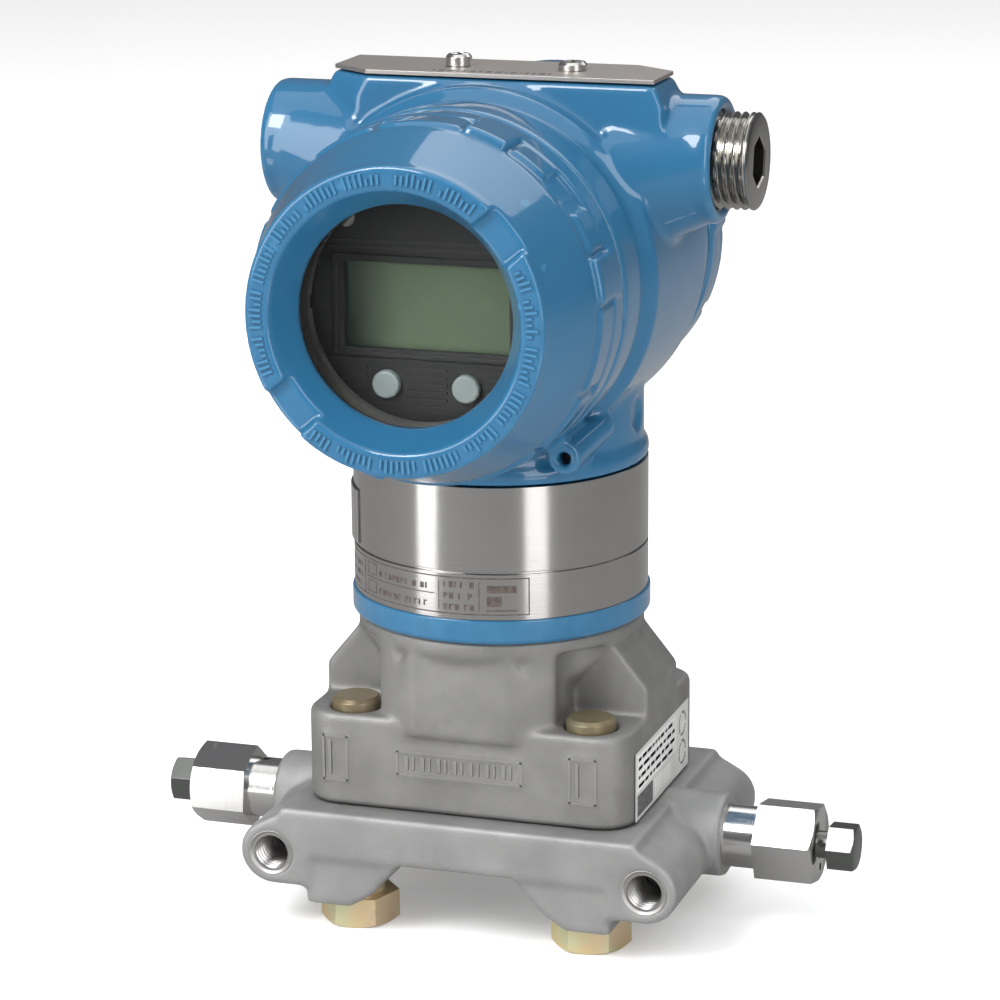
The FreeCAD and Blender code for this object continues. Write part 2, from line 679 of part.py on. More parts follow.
def make_flange():
    step_z = FLANGE_TOP - TOP_PLATE_STEP
    touch = ear_tangent()
    shoulder = [(KEEL_OUTER_X, FLANGE_TOP), (FLANGE_HALF_WIDTH, FLANGE_TOP), (FLANGE_HALF_WIDTH, step_z)]
    shoulder += [touch, (EAR_X, EAR_Z), (EAR_X, EAR_Z - EAR_R), (KEEL_OUTER_X, EAR_Z - EAR_R)]
    side = KEEL_OUTER_X + OVERLAP
    crown = WEB_UNDERSIDE + OVERLAP
    keel = [(KEEL_ROOT_X, crown), (KEEL_ROOT_X, WEB_UNDERSIDE), (KEEL_KNEE_X, KEEL_KNEE_Z)]
    keel += [(KEEL_TOE_X, 0), (side, 0), (side, crown)]
    depth = FLANGE_HALF_DEPTH
    ear_front = vector(EAR_X, -depth, EAR_Z)
    ear_rear = vector(EAR_X, depth, EAR_Z)
    right_side = [
        profile_along_y(shoulder, -depth, depth),
        rod(EAR_R, ear_front, ear_rear),
        profile_along_y(keel, KEEL_SETBACK - depth, depth - KEEL_SETBACK),
        rod(VALVE_BOSS_R, vector(KEEL_OUTER_X, 0, VALVE_Z), vector(VALVE_BOSS_END, 0, VALVE_Z)),
    ]
    web_half = KEEL_OUTER_X + OVERLAP
    web = block(-web_half, web_half, -depth, depth, WEB_UNDERSIDE, FLANGE_TOP)
    pieces = [web]
    for shape in right_side:
        pieces += both_sides(shape)
    body = fuse_all(pieces)
    seat = BASE_HALF_WIDTH + LABEL_THICK + BASE_CLEARANCE
    past = depth + OVERLAP
    holes = [block(-seat, seat, -past, past, FLANGE_TOP, FLANGE_TOP + VALVE_BOSS_R)]
    for side in (-1, 1):
        holes += flange_side_holes(side)
    return body.cut(holes)


def flange_side_holes(side):
    """Port, valve hole, mounting holes, bolt holes and chamber on one side."""
    def at(x, z, y=0.0):
        return vector(side * x, y, z)

    over = FLANGE_TOP + OVERLAP
    passage_x = PORT_X - PASSAGE_SETBACK
    chamber_floor = FLANGE_TOP - CHAMBER_DEPTH
    thread_end = VALVE_BOSS_END - VALVE_THREAD_DEPTH
    groove_r = PROCESS_RING_R + PROCESS_RING_SECTION_R + SEAL_GAP
    groove_floor = FLANGE_TOP - 2 * PROCESS_RING_SECTION_R
    holes = [
        rod(PORT_R, at(PORT_X, -OVERLAP), at(PORT_X, PORT_DEPTH)),
        rod(PASSAGE_R, at(passage_x, PORT_DEPTH - OVERLAP), at(passage_x, chamber_floor + OVERLAP)),
        rod(VALVE_THREAD_R, at(thread_end, VALVE_Z), at(VALVE_BOSS_END + OVERLAP, VALVE_Z)),
        rod(PASSAGE_R, at(PORT_X, VALVE_Z), at(thread_end + OVERLAP, VALVE_Z)),
        rod(DIAPHRAGM_R, at(ISOLATOR_X, chamber_floor), at(ISOLATOR_X, over)),
        rod(groove_r, at(ISOLATOR_X, groove_floor), at(ISOLATOR_X, over)),
    ]
    for face in (-1, 1):
        bolt_y = face * BOLT_Y
        mouth_y = face * (FLANGE_HALF_DEPTH + OVERLAP)
        bottom_y = face * (FLANGE_HALF_DEPTH - MOUNT_HOLE_DEPTH)
        holes.append(rod(BOLT_HOLE_R, at(BOLT_X, -OVERLAP, bolt_y), at(BOLT_X, over, bolt_y)))
        holes.append(rod(MOUNT_HOLE_R, at(EAR_X, EAR_Z, bottom_y), at(EAR_X, EAR_Z, mouth_y)))
    return holes


def make_flange_bolt(side, face):
    """Hexagon-head bolt from below, with its tip showing on the module's ear."""
    x = side * BOLT_X
    y = face * BOLT_Y
    tip_z = BASE_EAR_TOP + BOLT_TIP_PROUD
    neck_z = tip_z - BOLT_TIP_CHAMFER
    seat = vector(x, y, 0)
    crown = vector(x, y, -BOLT_HEAD_HEIGHT)
    return fuse_all([
        chamfered_hexagon(BOLT_HEAD_FLATS, seat, crown, BOLT_HEAD_TURN_DEG, BOLT_HEAD_BEVEL),
        rod(BOLT_R, seat, vector(x, y, neck_z)),
        taper(BOLT_R, BOLT_R - BOLT_TIP_CHAMFER, vector(x, y, neck_z), vector(x, y, tip_z)),
    ])


# ================================================================ drain and vent valves
def make_valve_seat(side):
    """Hexagon valve body: its inner end screws into the flange, the vent screw into it."""
    turn = RIGHT_SEAT_TURN_DEG if side > 0 else LEFT_SEAT_TURN_DEG
    hex_start = VALVE_BOSS_END + SEAT_NECK_LENGTH
    inner_end = VALVE_BOSS_END - VALVE_THREAD_DEPTH + SEAT_END_GAP
    thread_r = VALVE_THREAD_R - THREAD_FIT

    def at(x, z=VALVE_Z):
        return vector(side * x, 0, z)

    body = fuse_all([
        rod(thread_r, at(inner_end), at(VALVE_BOSS_END + SINK)),
        rod(SEAT_NECK_R, at(VALVE_BOSS_END), at(hex_start + SINK)),
        chamfered_hexagon(SEAT_HEX_FLATS, at(hex_start), at(SEAT_END), turn, SEAT_HEX_BEVEL),
    ])
    bore_r = VENT_SHAFT_R + RUNNING_FIT
    bore_end = SEAT_END - SEAT_BORE_DEPTH
    holes = [
        rod(bore_r, at(bore_end), at(SEAT_END + OVERLAP)),
        taper(ORIFICE_R, bore_r, at(bore_end - ORIFICE_TAPER), at(bore_end)),
        rod(ORIFICE_R, at(inner_end - OVERLAP), at(bore_end - ORIFICE_TAPER + FACE_GAP)),
    ]
    if side > 0:
        low = VALVE_Z - VENT_HOLE_DROP
        start = bore_end + VENT_HOLE_START
        holes.append(rod(VENT_HOLE_R, at(start, low), at(SEAT_END + OVERLAP, low)))
        holes.append(rod(VENT_HOLE_R, at(start + SINK, low), at(start + SINK)))
    else:
        outlet_x = hex_start - VENT_OUTLET_SETBACK
        outlet_top = VALVE_Z + SEAT_NECK_R + OVERLAP
        holes.append(rod(VENT_HOLE_R, at(outlet_x), at(outlet_x, outlet_top)))
    return body.cut(holes)


def vent_offset(side):
    """How far the vent screw stands out of its seat; the left one is screwed home."""
    return VENT_BACKED_OFF_TURNS * VENT_PITCH if side > 0 else 0.0


def vent_ball_x(side):
    """Middle of the ball, which sits a little way into the mouth of the orifice."""
    return SEAT_END - SEAT_BORE_DEPTH + VENT_BALL_R - VENT_BALL_SINK + vent_offset(side)


def make_vent_ball(side):
    """Ball at the tip of the vent screw, which closes the orifice."""
    return Part.makeSphere(VENT_BALL_R, vector(side * vent_ball_x(side), 0, VALVE_Z))


def make_vent_screw(side):
    """Hexagon-head screw that presses the ball home; its stem has a running fit."""
    tip_x = vent_ball_x(side) + VENT_BALL_R + THREAD_FIT
    head_x = SEAT_END + FACE_GAP + vent_offset(side)

    def at(x):
        return vector(side * x, 0, VALVE_Z)

    turn = RIGHT_VENT_TURN_DEG if side > 0 else LEFT_VENT_TURN_DEG
    head_end = at(head_x + VENT_HEAD_LENGTH)
    head = chamfered_hexagon(VENT_HEAD_FLATS, at(head_x), head_end, turn, VENT_HEAD_BEVEL)
    shaft = rod(VENT_SHAFT_R, at(tip_x), at(head_x + OVERLAP))
    return fuse_all([head, shaft])


# ================================================================ isolators
def make_process_ring(side):
    centre = vector(side * ISOLATOR_X, 0, FLANGE_TOP - PROCESS_RING_SECTION_R)
    return seal_ring(PROCESS_RING_R, PROCESS_RING_SECTION_R, centre, vector(0, 0, 1))


def make_diaphragm(side):
    """Thin convoluted disc, flat at its welded edge."""
    top = FLANGE_TOP + DIAPHRAGM_RECESS
    radii = [0.0]
    for wave in range(DIAPHRAGM_WAVES):
        radii.append(DIAPHRAGM_FIRST_WAVE_R + wave * DIAPHRAGM_WAVE_PITCH)
    radii.append(DIAPHRAGM_R)
    lower_side = []
    for index, radius in enumerate(radii):
        dip = DIAPHRAGM_WAVE if index % 2 and radius < OIL_POCKET_R else 0.0
        lower_side.append((radius, top - DIAPHRAGM_THICK - dip))
    upper_side = [(radius, z + DIAPHRAGM_THICK) for radius, z in reversed(lower_side)]
    return turned_about_z(lower_side + upper_side, centre_x=side * ISOLATOR_X)


def make_isolator_tube(side):
    """Oil line from the isolator up to the end face of the sensing cell."""
    low = vector(side * ISOLATOR_X, 0, FLANGE_TOP + DIAPHRAGM_RECESS + OIL_POCKET_DEPTH)
    bend_start = vector(side * ISOLATOR_X, 0, CELL_Z - TUBE_BEND_R)
    diagonal = TUBE_BEND_R * (1 - math.cos(math.radians(45)))
    middle = vector(side * (ISOLATOR_X - diagonal), 0, CELL_Z - diagonal)
    bend_end = vector(side * (ISOLATOR_X - TUBE_BEND_R), 0, CELL_Z)
    high = vector(side * CELL_HALF_LENGTH, 0, CELL_Z)
    path = Part.Wire([
        Part.LineSegment(low, bend_start).toShape(),
        Part.Arc(bend_start, middle, bend_end).toShape(),
        Part.LineSegment(bend_end, high).toShape(),
    ])
    tubes = []
    for radius in (TUBE_R, TUBE_BORE_R):
        section = Part.Wire(Part.makeCircle(radius, low, vector(0, 0, 1)))
        tubes.append(path.makePipeShell([section], True, False))
    return tubes[0].cut(tubes[1])


# ================================================================ module base
def rounded_block(half_width, half_depth, corner_r, z_low, z_high):
    """Upright block with round corners."""
    slab = block(-half_width, half_width, -half_depth, half_depth, z_low, z_high)
    upright = [edge for edge in slab.Edges if abs(edge.tangentAt(edge.FirstParameter).z) > 0.9]
    return slab.makeFillet(corner_r, upright)


def base_mark(left, width, rise, height):
    """Raised cast frame on the front of the base."""
    front = -BASE_HALF_DEPTH
    low = FLANGE_TOP + rise
    right = left + width
    high = low + height
    line = MARK_LINE
    outer = block(left, right, front - MARK_HEIGHT, front + OVERLAP, low, high)
    inner = block(left + line, right - line, front - OVERLAP, front + OVERLAP, low + line, high - line)
    return outer.cut(inner)


def base_marks():
    """One long frame in the middle and one box at each end."""
    return [
        base_mark(LONG_MARK_LEFT, LONG_MARK_WIDTH, LONG_MARK_RISE, LONG_MARK_HEIGHT),
        base_mark(LEFT_BOX_MARK_X, LEFT_BOX_MARK_WIDTH, BOX_MARK_RISE, BOX_MARK_HEIGHT),
        base_mark(RIGHT_BOX_MARK_X, RIGHT_BOX_MARK_WIDTH, BOX_MARK_RISE, BOX_MARK_HEIGHT),
    ]


def make_module_base():
    """Casting with four ears, an arched web, a wedge to each side and a ring on top."""
    floor = FLANGE_TOP
    root = BASE_EAR_TOP - WEB_ROOT
    lower = rounded_block(BASE_HALF_WIDTH, BASE_HALF_DEPTH, BASE_CORNER_R, floor, BASE_EAR_TOP)
    top_edges = [edge for edge in lower.Edges if edge.BoundBox.ZMin > BASE_EAR_TOP - TOLERANCE]
    lower = lower.makeFillet(BASE_EDGE_R, top_edges)
    depth = BASE_HALF_DEPTH
    web_outline = [(-depth, root), (-depth, BASE_EAR_TOP), (WEB_LEAN - depth, RING_TOP)]
    web_outline += [(depth - WEB_LEAN, RING_TOP), (depth, BASE_EAR_TOP), (depth, root)]
    wedge = [(-WEDGE_HALF_WIDTH, root), (-WEDGE_HALF_WIDTH, WEDGE_SHOULDER_Z)]
    wedge += [(-WEDGE_TOP_X, RING_UNDERSIDE), (WEDGE_TOP_X, RING_UNDERSIDE)]
    wedge += [(WEDGE_HALF_WIDTH, WEDGE_SHOULDER_Z), (WEDGE_HALF_WIDTH, root)]
    core = [(0, root), (CORE_WAIST_R, root), (CORE_WAIST_R, BASE_EAR_TOP)]
    core += [(CORE_MIDDLE_R, CORE_MIDDLE_Z), (RING_R, RING_UNDERSIDE), (RING_R, RING_TOP), (0, RING_TOP)]
    proud = depth + ARCH_PROUD
    arch = rod(ARCH_R, vector(0, -proud, ARCH_Z), vector(0, proud, ARCH_Z))
    past_x = ARCH_R + OVERLAP
    past_y = proud + OVERLAP
    below = block(-past_x, past_x, -past_y, past_y, floor, ARCH_Z - ARCH_FOOT_DROP)
    inside_ring = Part.makeCylinder(RING_R, RING_TOP - floor, vector(0, 0, floor))
    arch = arch.cut(below).common(inside_ring)
    body = fuse_all([
        lower,
        profile_along_x(web_outline, -WEB_HALF_WIDTH, WEB_HALF_WIDTH).common(inside_ring),
        profile_along_y(wedge, -WEDGE_HALF_DEPTH, WEDGE_HALF_DEPTH),
        turned_about_z(core),
        arch,
    ] + base_marks())
    return body.cut(base_holes())


def base_holes():
    """Bolt holes with their pockets, isolator seats, tube holes and the middle cavity."""
    floor = FLANGE_TOP
    under = floor - OVERLAP
    recess_top = floor + DIAPHRAGM_RECESS
    holes = []
    for side in (-1, 1):
        for face in (-1, 1):
            x = side * BOLT_X
            y = face * BOLT_Y
            ear = vector(x, y, BASE_EAR_TOP)
            over = vector(x, y, BASE_EAR_TOP + OVERLAP)
            holes.append(rod(BOLT_R + THREAD_FIT, vector(x, y, under), over))
            holes.append(rod(POCKET_R, ear, vector(x, y, RING_UNDERSIDE)))
        iso_x = side * ISOLATOR_X
        seat = vector(iso_x, 0, floor)
        holes.append(rod(DIAPHRAGM_R + THREAD_FIT, vector(iso_x, 0, under), vector(iso_x, 0, recess_top)))
        holes.append(rod(OIL_POCKET_R, seat, vector(iso_x, 0, recess_top + OIL_POCKET_DEPTH)))
        holes.append(rod(TUBE_R + THREAD_FIT, seat, vector(iso_x, 0, CAVITY_FLOOR + OVERLAP)))
    slot_x = TUBE_SLOT_HALF_WIDTH
    slot_y = TUBE_SLOT_HALF_DEPTH
    step = CAVITY_STEP_Z
    holes.append(block(-slot_x, slot_x, -slot_y, slot_y, CAVITY_FLOOR, step + OVERLAP))
    holes.append(rod(CAVITY_R, vector(0, 0, CAVITY_FLOOR), vector(0, 0, step + OVERLAP)))
    holes.append(rod(CAVITY_TOP_R, vector(0, 0, step), vector(0, 0, RING_TOP + OVERLAP)))
    return holes


def make_side_label():
    face = BASE_HALF_WIDTH
    low = FLANGE_TOP + LABEL_RISE
    rear = LABEL_FRONT_Y + LABEL_LENGTH
    return block(face, face + LABEL_THICK, LABEL_FRONT_Y, rear, low, low + LABEL_HEIGHT)


# ================================================================ sensor module
def make_module_collar():
    bevel = COLLAR_BEVEL
    profile = [(COLLAR_BORE_R, RING_TOP), (COLLAR_R - bevel, RING_TOP), (COLLAR_R, RING_TOP + bevel)]
    profile += [(COLLAR_R, COLLAR_TOP), (COLLAR_BORE_R, COLLAR_TOP)]
    return turned_about_z(profile)


def make_module_can():
    """Turned steel body: thin-walled can, closed deck and a threaded spigot on top."""
    deck_low = CAN_TOP - CAN_DECK_THICK
    cap_low = SPIGOT_TOP - SPIGOT_CAP_THICK
    groove_low = CAN_GROOVE_Z - CAN_GROOVE_WIDTH / 2
    groove_high = CAN_GROOVE_Z + CAN_GROOVE_WIDTH / 2
    groove_r = CAN_R - CAN_GROOVE_DEPTH
    seal_low = HOUSING_RING_Z - HOUSING_RING_SECTION_R - SEAL_GAP
    seal_high = HOUSING_RING_Z + HOUSING_RING_SECTION_R + SEAL_GAP
    seal_r = SPIGOT_R - 2 * HOUSING_RING_SECTION_R
    port_r = CONNECTOR_R + THREAD_FIT
    outside = [(CAN_BORE_R, COLLAR_TOP), (CAN_R, COLLAR_TOP), (CAN_R, groove_low), (groove_r, groove_low)]
    outside += [(groove_r, groove_high), (CAN_R, groove_high), (CAN_R, CAN_TOP), (SPIGOT_R, CAN_TOP)]
    outside += [(SPIGOT_R, seal_low), (seal_r, seal_low), (seal_r, seal_high), (SPIGOT_R, seal_high)]
    outside += [(SPIGOT_R, SPIGOT_TOP - SPIGOT_BEVEL), (SPIGOT_R - SPIGOT_BEVEL, SPIGOT_TOP)]
    lip_r = port_r + CAN_DECK_LIP
    lip_top = deck_low + CAN_DECK_STEP
    inside = [(port_r, SPIGOT_TOP), (port_r, cap_low), (SPIGOT_BORE_R, cap_low), (SPIGOT_BORE_R, lip_top)]
    inside += [(lip_r, lip_top), (lip_r, deck_low), (CAN_BORE_R, deck_low)]
    return turned_about_z(outside + inside)


def make_module_tag():
    """Thin bent plate spot-welded to the side of the can."""
    inner = CAN_R + WELD_GAP
    outer = inner + TAG_THICK
    profile = [(inner, TAG_BOTTOM), (outer, TAG_BOTTOM), (outer, TAG_TOP), (inner, TAG_TOP)]
    return turned_about_z(profile, TAG_START_DEG, TAG_SWEEP_DEG)


def make_sensor_cell():
    """Round capsule with a weld rim; its end faces take the two oil lines."""
    def at(x):
        return vector(x, 0, CELL_Z)

    barrel = rod(CELL_R, at(-CELL_HALF_LENGTH), at(CELL_HALF_LENGTH))
    rim = rod(CELL_RIM_R, at(-CELL_RIM_HALF_LENGTH), at(CELL_RIM_HALF_LENGTH))
    return fuse_all([barrel, rim])


def make_module_board():
    radius = CAN_BORE_R - MODULE_BOARD_GAP
    return rod(radius, vector(0, 0, MODULE_BOARD_Z), vector(0, 0, MODULE_BOARD_Z + BOARD_THICK))


def make_module_connector():
    """Round header on the board; its pins end below the spigot's top."""
    low = MODULE_BOARD_Z + BOARD_THICK
    pin_top = SPIGOT_TOP - CONNECTOR_PIN_DROP
    high = pin_top - CONNECTOR_PIN_LENGTH
    pieces = [rod(CONNECTOR_R, vector(0, 0, low), vector(0, 0, high))]
    for index in range(CONNECTOR_PINS):
        angle = 2 * math.pi * index / CONNECTOR_PINS
        x = CONNECTOR_PIN_CIRCLE_R * math.cos(angle)
        y = CONNECTOR_PIN_CIRCLE_R * math.sin(angle)
        pieces.append(rod(CONNECTOR_PIN_R, vector(x, y, high - SINK), vector(x, y, pin_top)))
    return fuse_all(pieces)


def make_housing_ring():
    section = HOUSING_RING_SECTION_R - HOUSING_RING_SQUEEZE
    return seal_ring(SPIGOT_R - section, section, vector(0, 0, HOUSING_RING_Z), vector(0, 0, 1))


# ================================================================ electronics housing
def plate_outline(grow_x, grow_y):
    """Nameplate outline, with two opposite corners cut; grown by the given margins."""
    left = PLATE_LEFT - grow_x
    right = PLATE_RIGHT + grow_x
    front = PLATE_FRONT - grow_y
    rear = PLATE_REAR + grow_y
    return [
        (left + PLATE_CUT_X, front),
        (right, front),
        (right, rear - PLATE_CUT_Y),
        (right - PLATE_CUT_X, rear),
        (left, rear),
        (left, front + PLATE_CUT_Y),
    ]


def housing_block():
    """Top block under the nameplate: a short flare, then nearly upright sides."""
    upper = flat_wire(plate_outline(0.0, BLOCK_TOP_MARGIN_Y), BLOCK_TOP)
    shoulder = flat_wire(plate_outline(BLOCK_FLARE, BLOCK_SHOULDER_MARGIN_Y), BLOCK_SHOULDER_Z)
    foot_margin = BLOCK_SHOULDER_MARGIN_Y + BLOCK_DRAFT_Y
    lower = flat_wire(plate_outline(BLOCK_FLARE, foot_margin), BLOCK_BOTTOM)
    crown = Part.makeLoft([shoulder, upper], True, True)
    skirt = Part.makeLoft([lower, shoulder], True, True)
    return [crown, skirt]


def conduit_boss():
    """Right-hand conduit boss with the gusset that carries it; the left one mirrors it."""
    def at(x):
        return vector(x, 0, CONDUIT_Z)

    lip = CONDUIT_END - CONDUIT_CHAMFER
    straight = rod(CONDUIT_BOSS_R, at(GUSSET_INNER_X), at(lip))
    rim = taper(CONDUIT_BOSS_R, CONDUIT_BOSS_R - CONDUIT_CHAMFER / 2, at(lip), at(CONDUIT_END))
    along = vector(1, 0, 0)
    inner_centre = vector(GUSSET_INNER_X, 0, GUSSET_INNER_Z)
    inner = Part.Wire(Part.makeCircle(GUSSET_INNER_R, inner_centre, along))
    outer = Part.Wire(Part.makeCircle(GUSSET_OUTER_R, at(GUSSET_OUTER_X), along))
    gusset = Part.makeLoft([inner, outer], True, True)
    return [straight, rim, gusset]


def set_screw_point(distance):
    """Point on the set screw's axis, which runs back and slightly down into the neck."""
    tilt = math.radians(SET_SCREW_TILT_DEG)
    back = distance * math.cos(tilt)
    down = distance * math.sin(tilt)
    return vector(SET_SCREW_X, SET_BOSS_FRONT + back, SET_SCREW_Z - down)


def set_screw_reach():
    """Distance along the axis from the boss's face to the module's spigot."""
    spigot_y = -math.sqrt(SPIGOT_R ** 2 - (SET_SCREW_X - SET_SCREW_R) ** 2)
    return (spigot_y - SET_BOSS_FRONT) / math.cos(math.radians(SET_SCREW_TILT_DEG))


def set_screw_boss():
    """Small boss at the front of the neck, with a ridge that runs back into it."""
    front = vector(SET_SCREW_X, SET_BOSS_FRONT, SET_SCREW_Z)
    back = front.add(vector(0, SET_BOSS_LENGTH, 0))
    ridge_start = front.add(vector(SET_RIDGE_START_X, SET_RIDGE_START_Y, SET_RIDGE_START_Z))
    ridge_end = front.add(vector(SET_RIDGE_RUN_X, SET_RIDGE_RUN_Y, SET_RIDGE_RUN_Z))
    return [rod(SET_BOSS_R, front, back), rod(SET_RIDGE_R, ridge_start, ridge_end)]


def barrel_profile():
    """Outline of the barrel: front collar, shallow groove, body and rear collar."""
    end = BARREL_HALF_LENGTH
    outline = [(0, -end), (FRONT_COLLAR_R - COLLAR_EDGE, -end), (FRONT_COLLAR_R, COLLAR_EDGE - end)]
    outline += [(FRONT_COLLAR_R, FRONT_COLLAR_BACK), (GROOVE_R, FRONT_COLLAR_BACK + GROOVE_SLOPE)]
    outline += [(GROOVE_R, BODY_FRONT - BODY_SLOPE), (BODY_R, BODY_FRONT + BODY_SLOPE)]
    outline += [(BODY_R, BODY_BACK - REAR_COLLAR_SLOPE)]
    outline += [(REAR_COLLAR_R, BODY_BACK + REAR_COLLAR_SLOPE)]
    return outline + [(REAR_COLLAR_R, end), (0, end)]


def neck_profile():
    """Outline of the round neck that stands on the sensor module."""
    foot = CAN_TOP + FACE_GAP
    rim_top = CAN_TOP + NECK_RIM_HEIGHT
    top = CAN_TOP + NECK_HEIGHT
    outline = [(0, foot), (NECK_RIM_R, foot), (NECK_RIM_R, rim_top)]
    return outline + [(NECK_R, rim_top + NECK_RIM_SLOPE), (NECK_R, top), (0, top)]


def make_housing():
    """Casting with two compartments, a round neck, two conduit bosses and a top block."""
    shell = fuse_all([turned_about_y(barrel_profile()), turned_about_z(neck_profile())])
    screw_boss = fuse_all(set_screw_boss())
    pieces = [fuse_all([shell, screw_boss])] + housing_block()
    for shape in conduit_boss():
        pieces += both_sides(shape)
    body = fuse_all(pieces)
    return body.cut(housing_cavities()).cut(housing_screw_holes())


def housing_cavities():
    """Both compartments, cover threads, seal pockets, neck bore and conduit entries."""
    past = BARREL_HALF_LENGTH + OVERLAP
    thread_back = BARREL_HALF_LENGTH - COVER_THREAD_LENGTH
    pocket = BARREL_HALF_LENGTH - SEAL_POCKET_DEPTH

    def at(y):
        return vector(0, y, BARREL_Z)

    neck_low = vector(0, 0, CAN_TOP - OVERLAP)
    neck_high = vector(0, 0, SPIGOT_TOP + SPIGOT_END_GAP)
    holes = [
        rod(COMPARTMENT_R, at(-past), at(WALL_FRONT)),
        rod(COMPARTMENT_R, at(WALL_BACK), at(past)),
        rod(SPIGOT_R + RUNNING_FIT, neck_low, neck_high),
    ]
    for face in (-1, 1):
        holes.append(rod(COVER_THREAD_R, at(face * thread_back), at(face * past)))
        holes.append(rod(SEAL_POCKET_R, at(face * pocket), at(face * past)))
    slot_back = WALL_FRONT - RIBBON_SLOT_SETBACK
    slot_front = slot_back - RIBBON_SLOT_DEPTH
    half = RIBBON_SLOT_WIDTH / 2
    slot_top = BARREL_Z - math.sqrt(COMPARTMENT_R ** 2 - half ** 2) + OVERLAP
    holes.append(block(-half, half, slot_front, slot_back, SPIGOT_TOP - SINK, slot_top))
    for side in (-1, 1):
        holes += conduit_entry(side)
    return holes


def conduit_entry(side):
    """Entry thread with a bevelled mouth, and the passage into the rear compartment."""
    def at(x, y=0.0):
        return vector(side * x, y, CONDUIT_Z)

    inner_x = CONDUIT_END - CONDUIT_THREAD_DEPTH
    thread = rod(CONDUIT_THREAD_R, at(inner_x), at(CONDUIT_END + OVERLAP))
    mouth_r = CONDUIT_THREAD_R + CONDUIT_MOUTH_CHAMFER
    mouth = taper(CONDUIT_THREAD_R, mouth_r, at(CONDUIT_END - CONDUIT_MOUTH_CHAMFER), at(CONDUIT_END))
    passage_x = math.sqrt(COMPARTMENT_R ** 2 - (CONDUIT_Z - BARREL_Z) ** 2) - SINK
    passage_start = at(passage_x, CONDUIT_PASSAGE_Y)
    passage = rod(CONDUIT_PASSAGE_R, passage_start, at(inner_x + OVERLAP, CONDUIT_PASSAGE_Y))
    return [thread, mouth, passage]


def core_marks():
    """Two small recesses beside the set screw's boss, left by the core of the mould."""
    left = SET_SCREW_X - CORE_MARK_SETBACK - CORE_MARK_WIDTH
    front = -math.sqrt(NECK_RIM_R ** 2 - left ** 2)
    back = CORE_MARK_DEPTH - math.sqrt(NECK_R ** 2 - left ** 2)
    low = SET_SCREW_Z - CORE_MARK_LOW_DROP
    marks = []
    for z in (low, low + CORE_MARK_PITCH):
        marks.append(block(left, left + CORE_MARK_WIDTH, front, back, z, z + CORE_MARK_HEIGHT))
    return marks


def housing_screw_holes():
    """Holes for every screw and button that the casting takes, and the side dimple."""
    over = BLOCK_TOP + OVERLAP
    set_hole_end = set_screw_point(set_screw_reach() + SET_SCREW_HOLE_PAST)
    holes = core_marks() + [rod(SET_SCREW_R + THREAD_FIT, set_screw_point(-OVERLAP), set_hole_end)]
    for x in (LEFT_SCREW_X, RIGHT_SCREW_X):
        low = BLOCK_TOP - NAMEPLATE_SCREW_DEPTH - HOLE_END_GAP
        holes.append(rod(M3_R + THREAD_FIT, vector(x, 0, low), vector(x, 0, over)))
    for x in adjust_places():
        low = BLOCK_TOP - ADJUST_LENGTH - ADJUST_TRAVEL - HOLE_END_GAP
        holes.append(rod(ADJUST_R + RUNNING_FIT, vector(x, 0, low), vector(x, 0, over)))
    for x, z in puck_screw_places():
        end_y = WALL_FRONT + PUCK_SCREW_BITE + HOLE_END_GAP
        start = vector(x, WALL_FRONT - OVERLAP, z)
        holes.append(rod(PUCK_SCREW_R + THREAD_FIT, start, vector(x, end_y, z)))
    for x in (-TERMINAL_FIX_X, TERMINAL_FIX_X):
        holes.append(back_wall_hole(x, BARREL_Z, TERMINAL_FIX_BITE))
    holes.append(back_wall_hole(0.0, GROUND_SCREW_Z, GROUND_SCREW_BITE))
    dimple_floor = vector(NECK_R - SIDE_DIMPLE_DEPTH, 0, SIDE_DIMPLE_Z)
    holes.append(rod(SIDE_DIMPLE_R, dimple_floor, vector(NECK_RIM_R + OVERLAP, 0, SIDE_DIMPLE_Z)))
    return holes


def back_wall_hole(x, z, bite):
    """Tapped hole in the dividing wall, from the terminal side."""
    end = vector(x, WALL_BACK - bite - HOLE_END_GAP, z)
    return rod(TERMINAL_SCREW_R + THREAD_FIT, end, vector(x, WALL_BACK + OVERLAP, z))


def adjust_places():
    """Both adjust buttons sit midway between the nameplate screws."""
    middle = (LEFT_SCREW_X + RIGHT_SCREW_X) / 2
    return (middle - ADJUST_SPACING / 2, middle + ADJUST_SPACING / 2)


def make_set_screw():
    """Socket set screw, backed off a little from the module's spigot."""
    tip = set_screw_reach() - SET_SCREW_BACKED_OFF
    head = tip - SET_SCREW_LENGTH
    body = rod(SET_SCREW_R, set_screw_point(head), set_screw_point(tip))
    socket_end = set_screw_point(head + SET_SCREW_KEY_DEPTH)
    socket = hexagon_bar(SET_SCREW_KEY_FLATS, set_screw_point(head - OVERLAP), socket_end, 0.0)
    return body.cut(socket)


def make_nameplate_screw(x, head_r, head_height):
    """Pan-head screw that clamps the nameplate."""
    seat = PLATE_TOP + FACE_GAP
    top = seat + head_height
    knee = vector(x, 0, top - SCREW_EDGE_HEIGHT)
    pieces = [
        rod(M3_R, vector(x, 0, BLOCK_TOP - NAMEPLATE_SCREW_DEPTH), vector(x, 0, seat + SINK)),
        rod(head_r, vector(x, 0, seat), knee),
        taper(head_r, head_r - SCREW_EDGE, knee, vector(x, 0, top)),
    ]
    slot = cross_slot(vector(x, 0, top), head_r - CROSS_SLOT_MARGIN, CROSS_SLOT_DEPTH)
    return fuse_all(pieces).cut(slot)


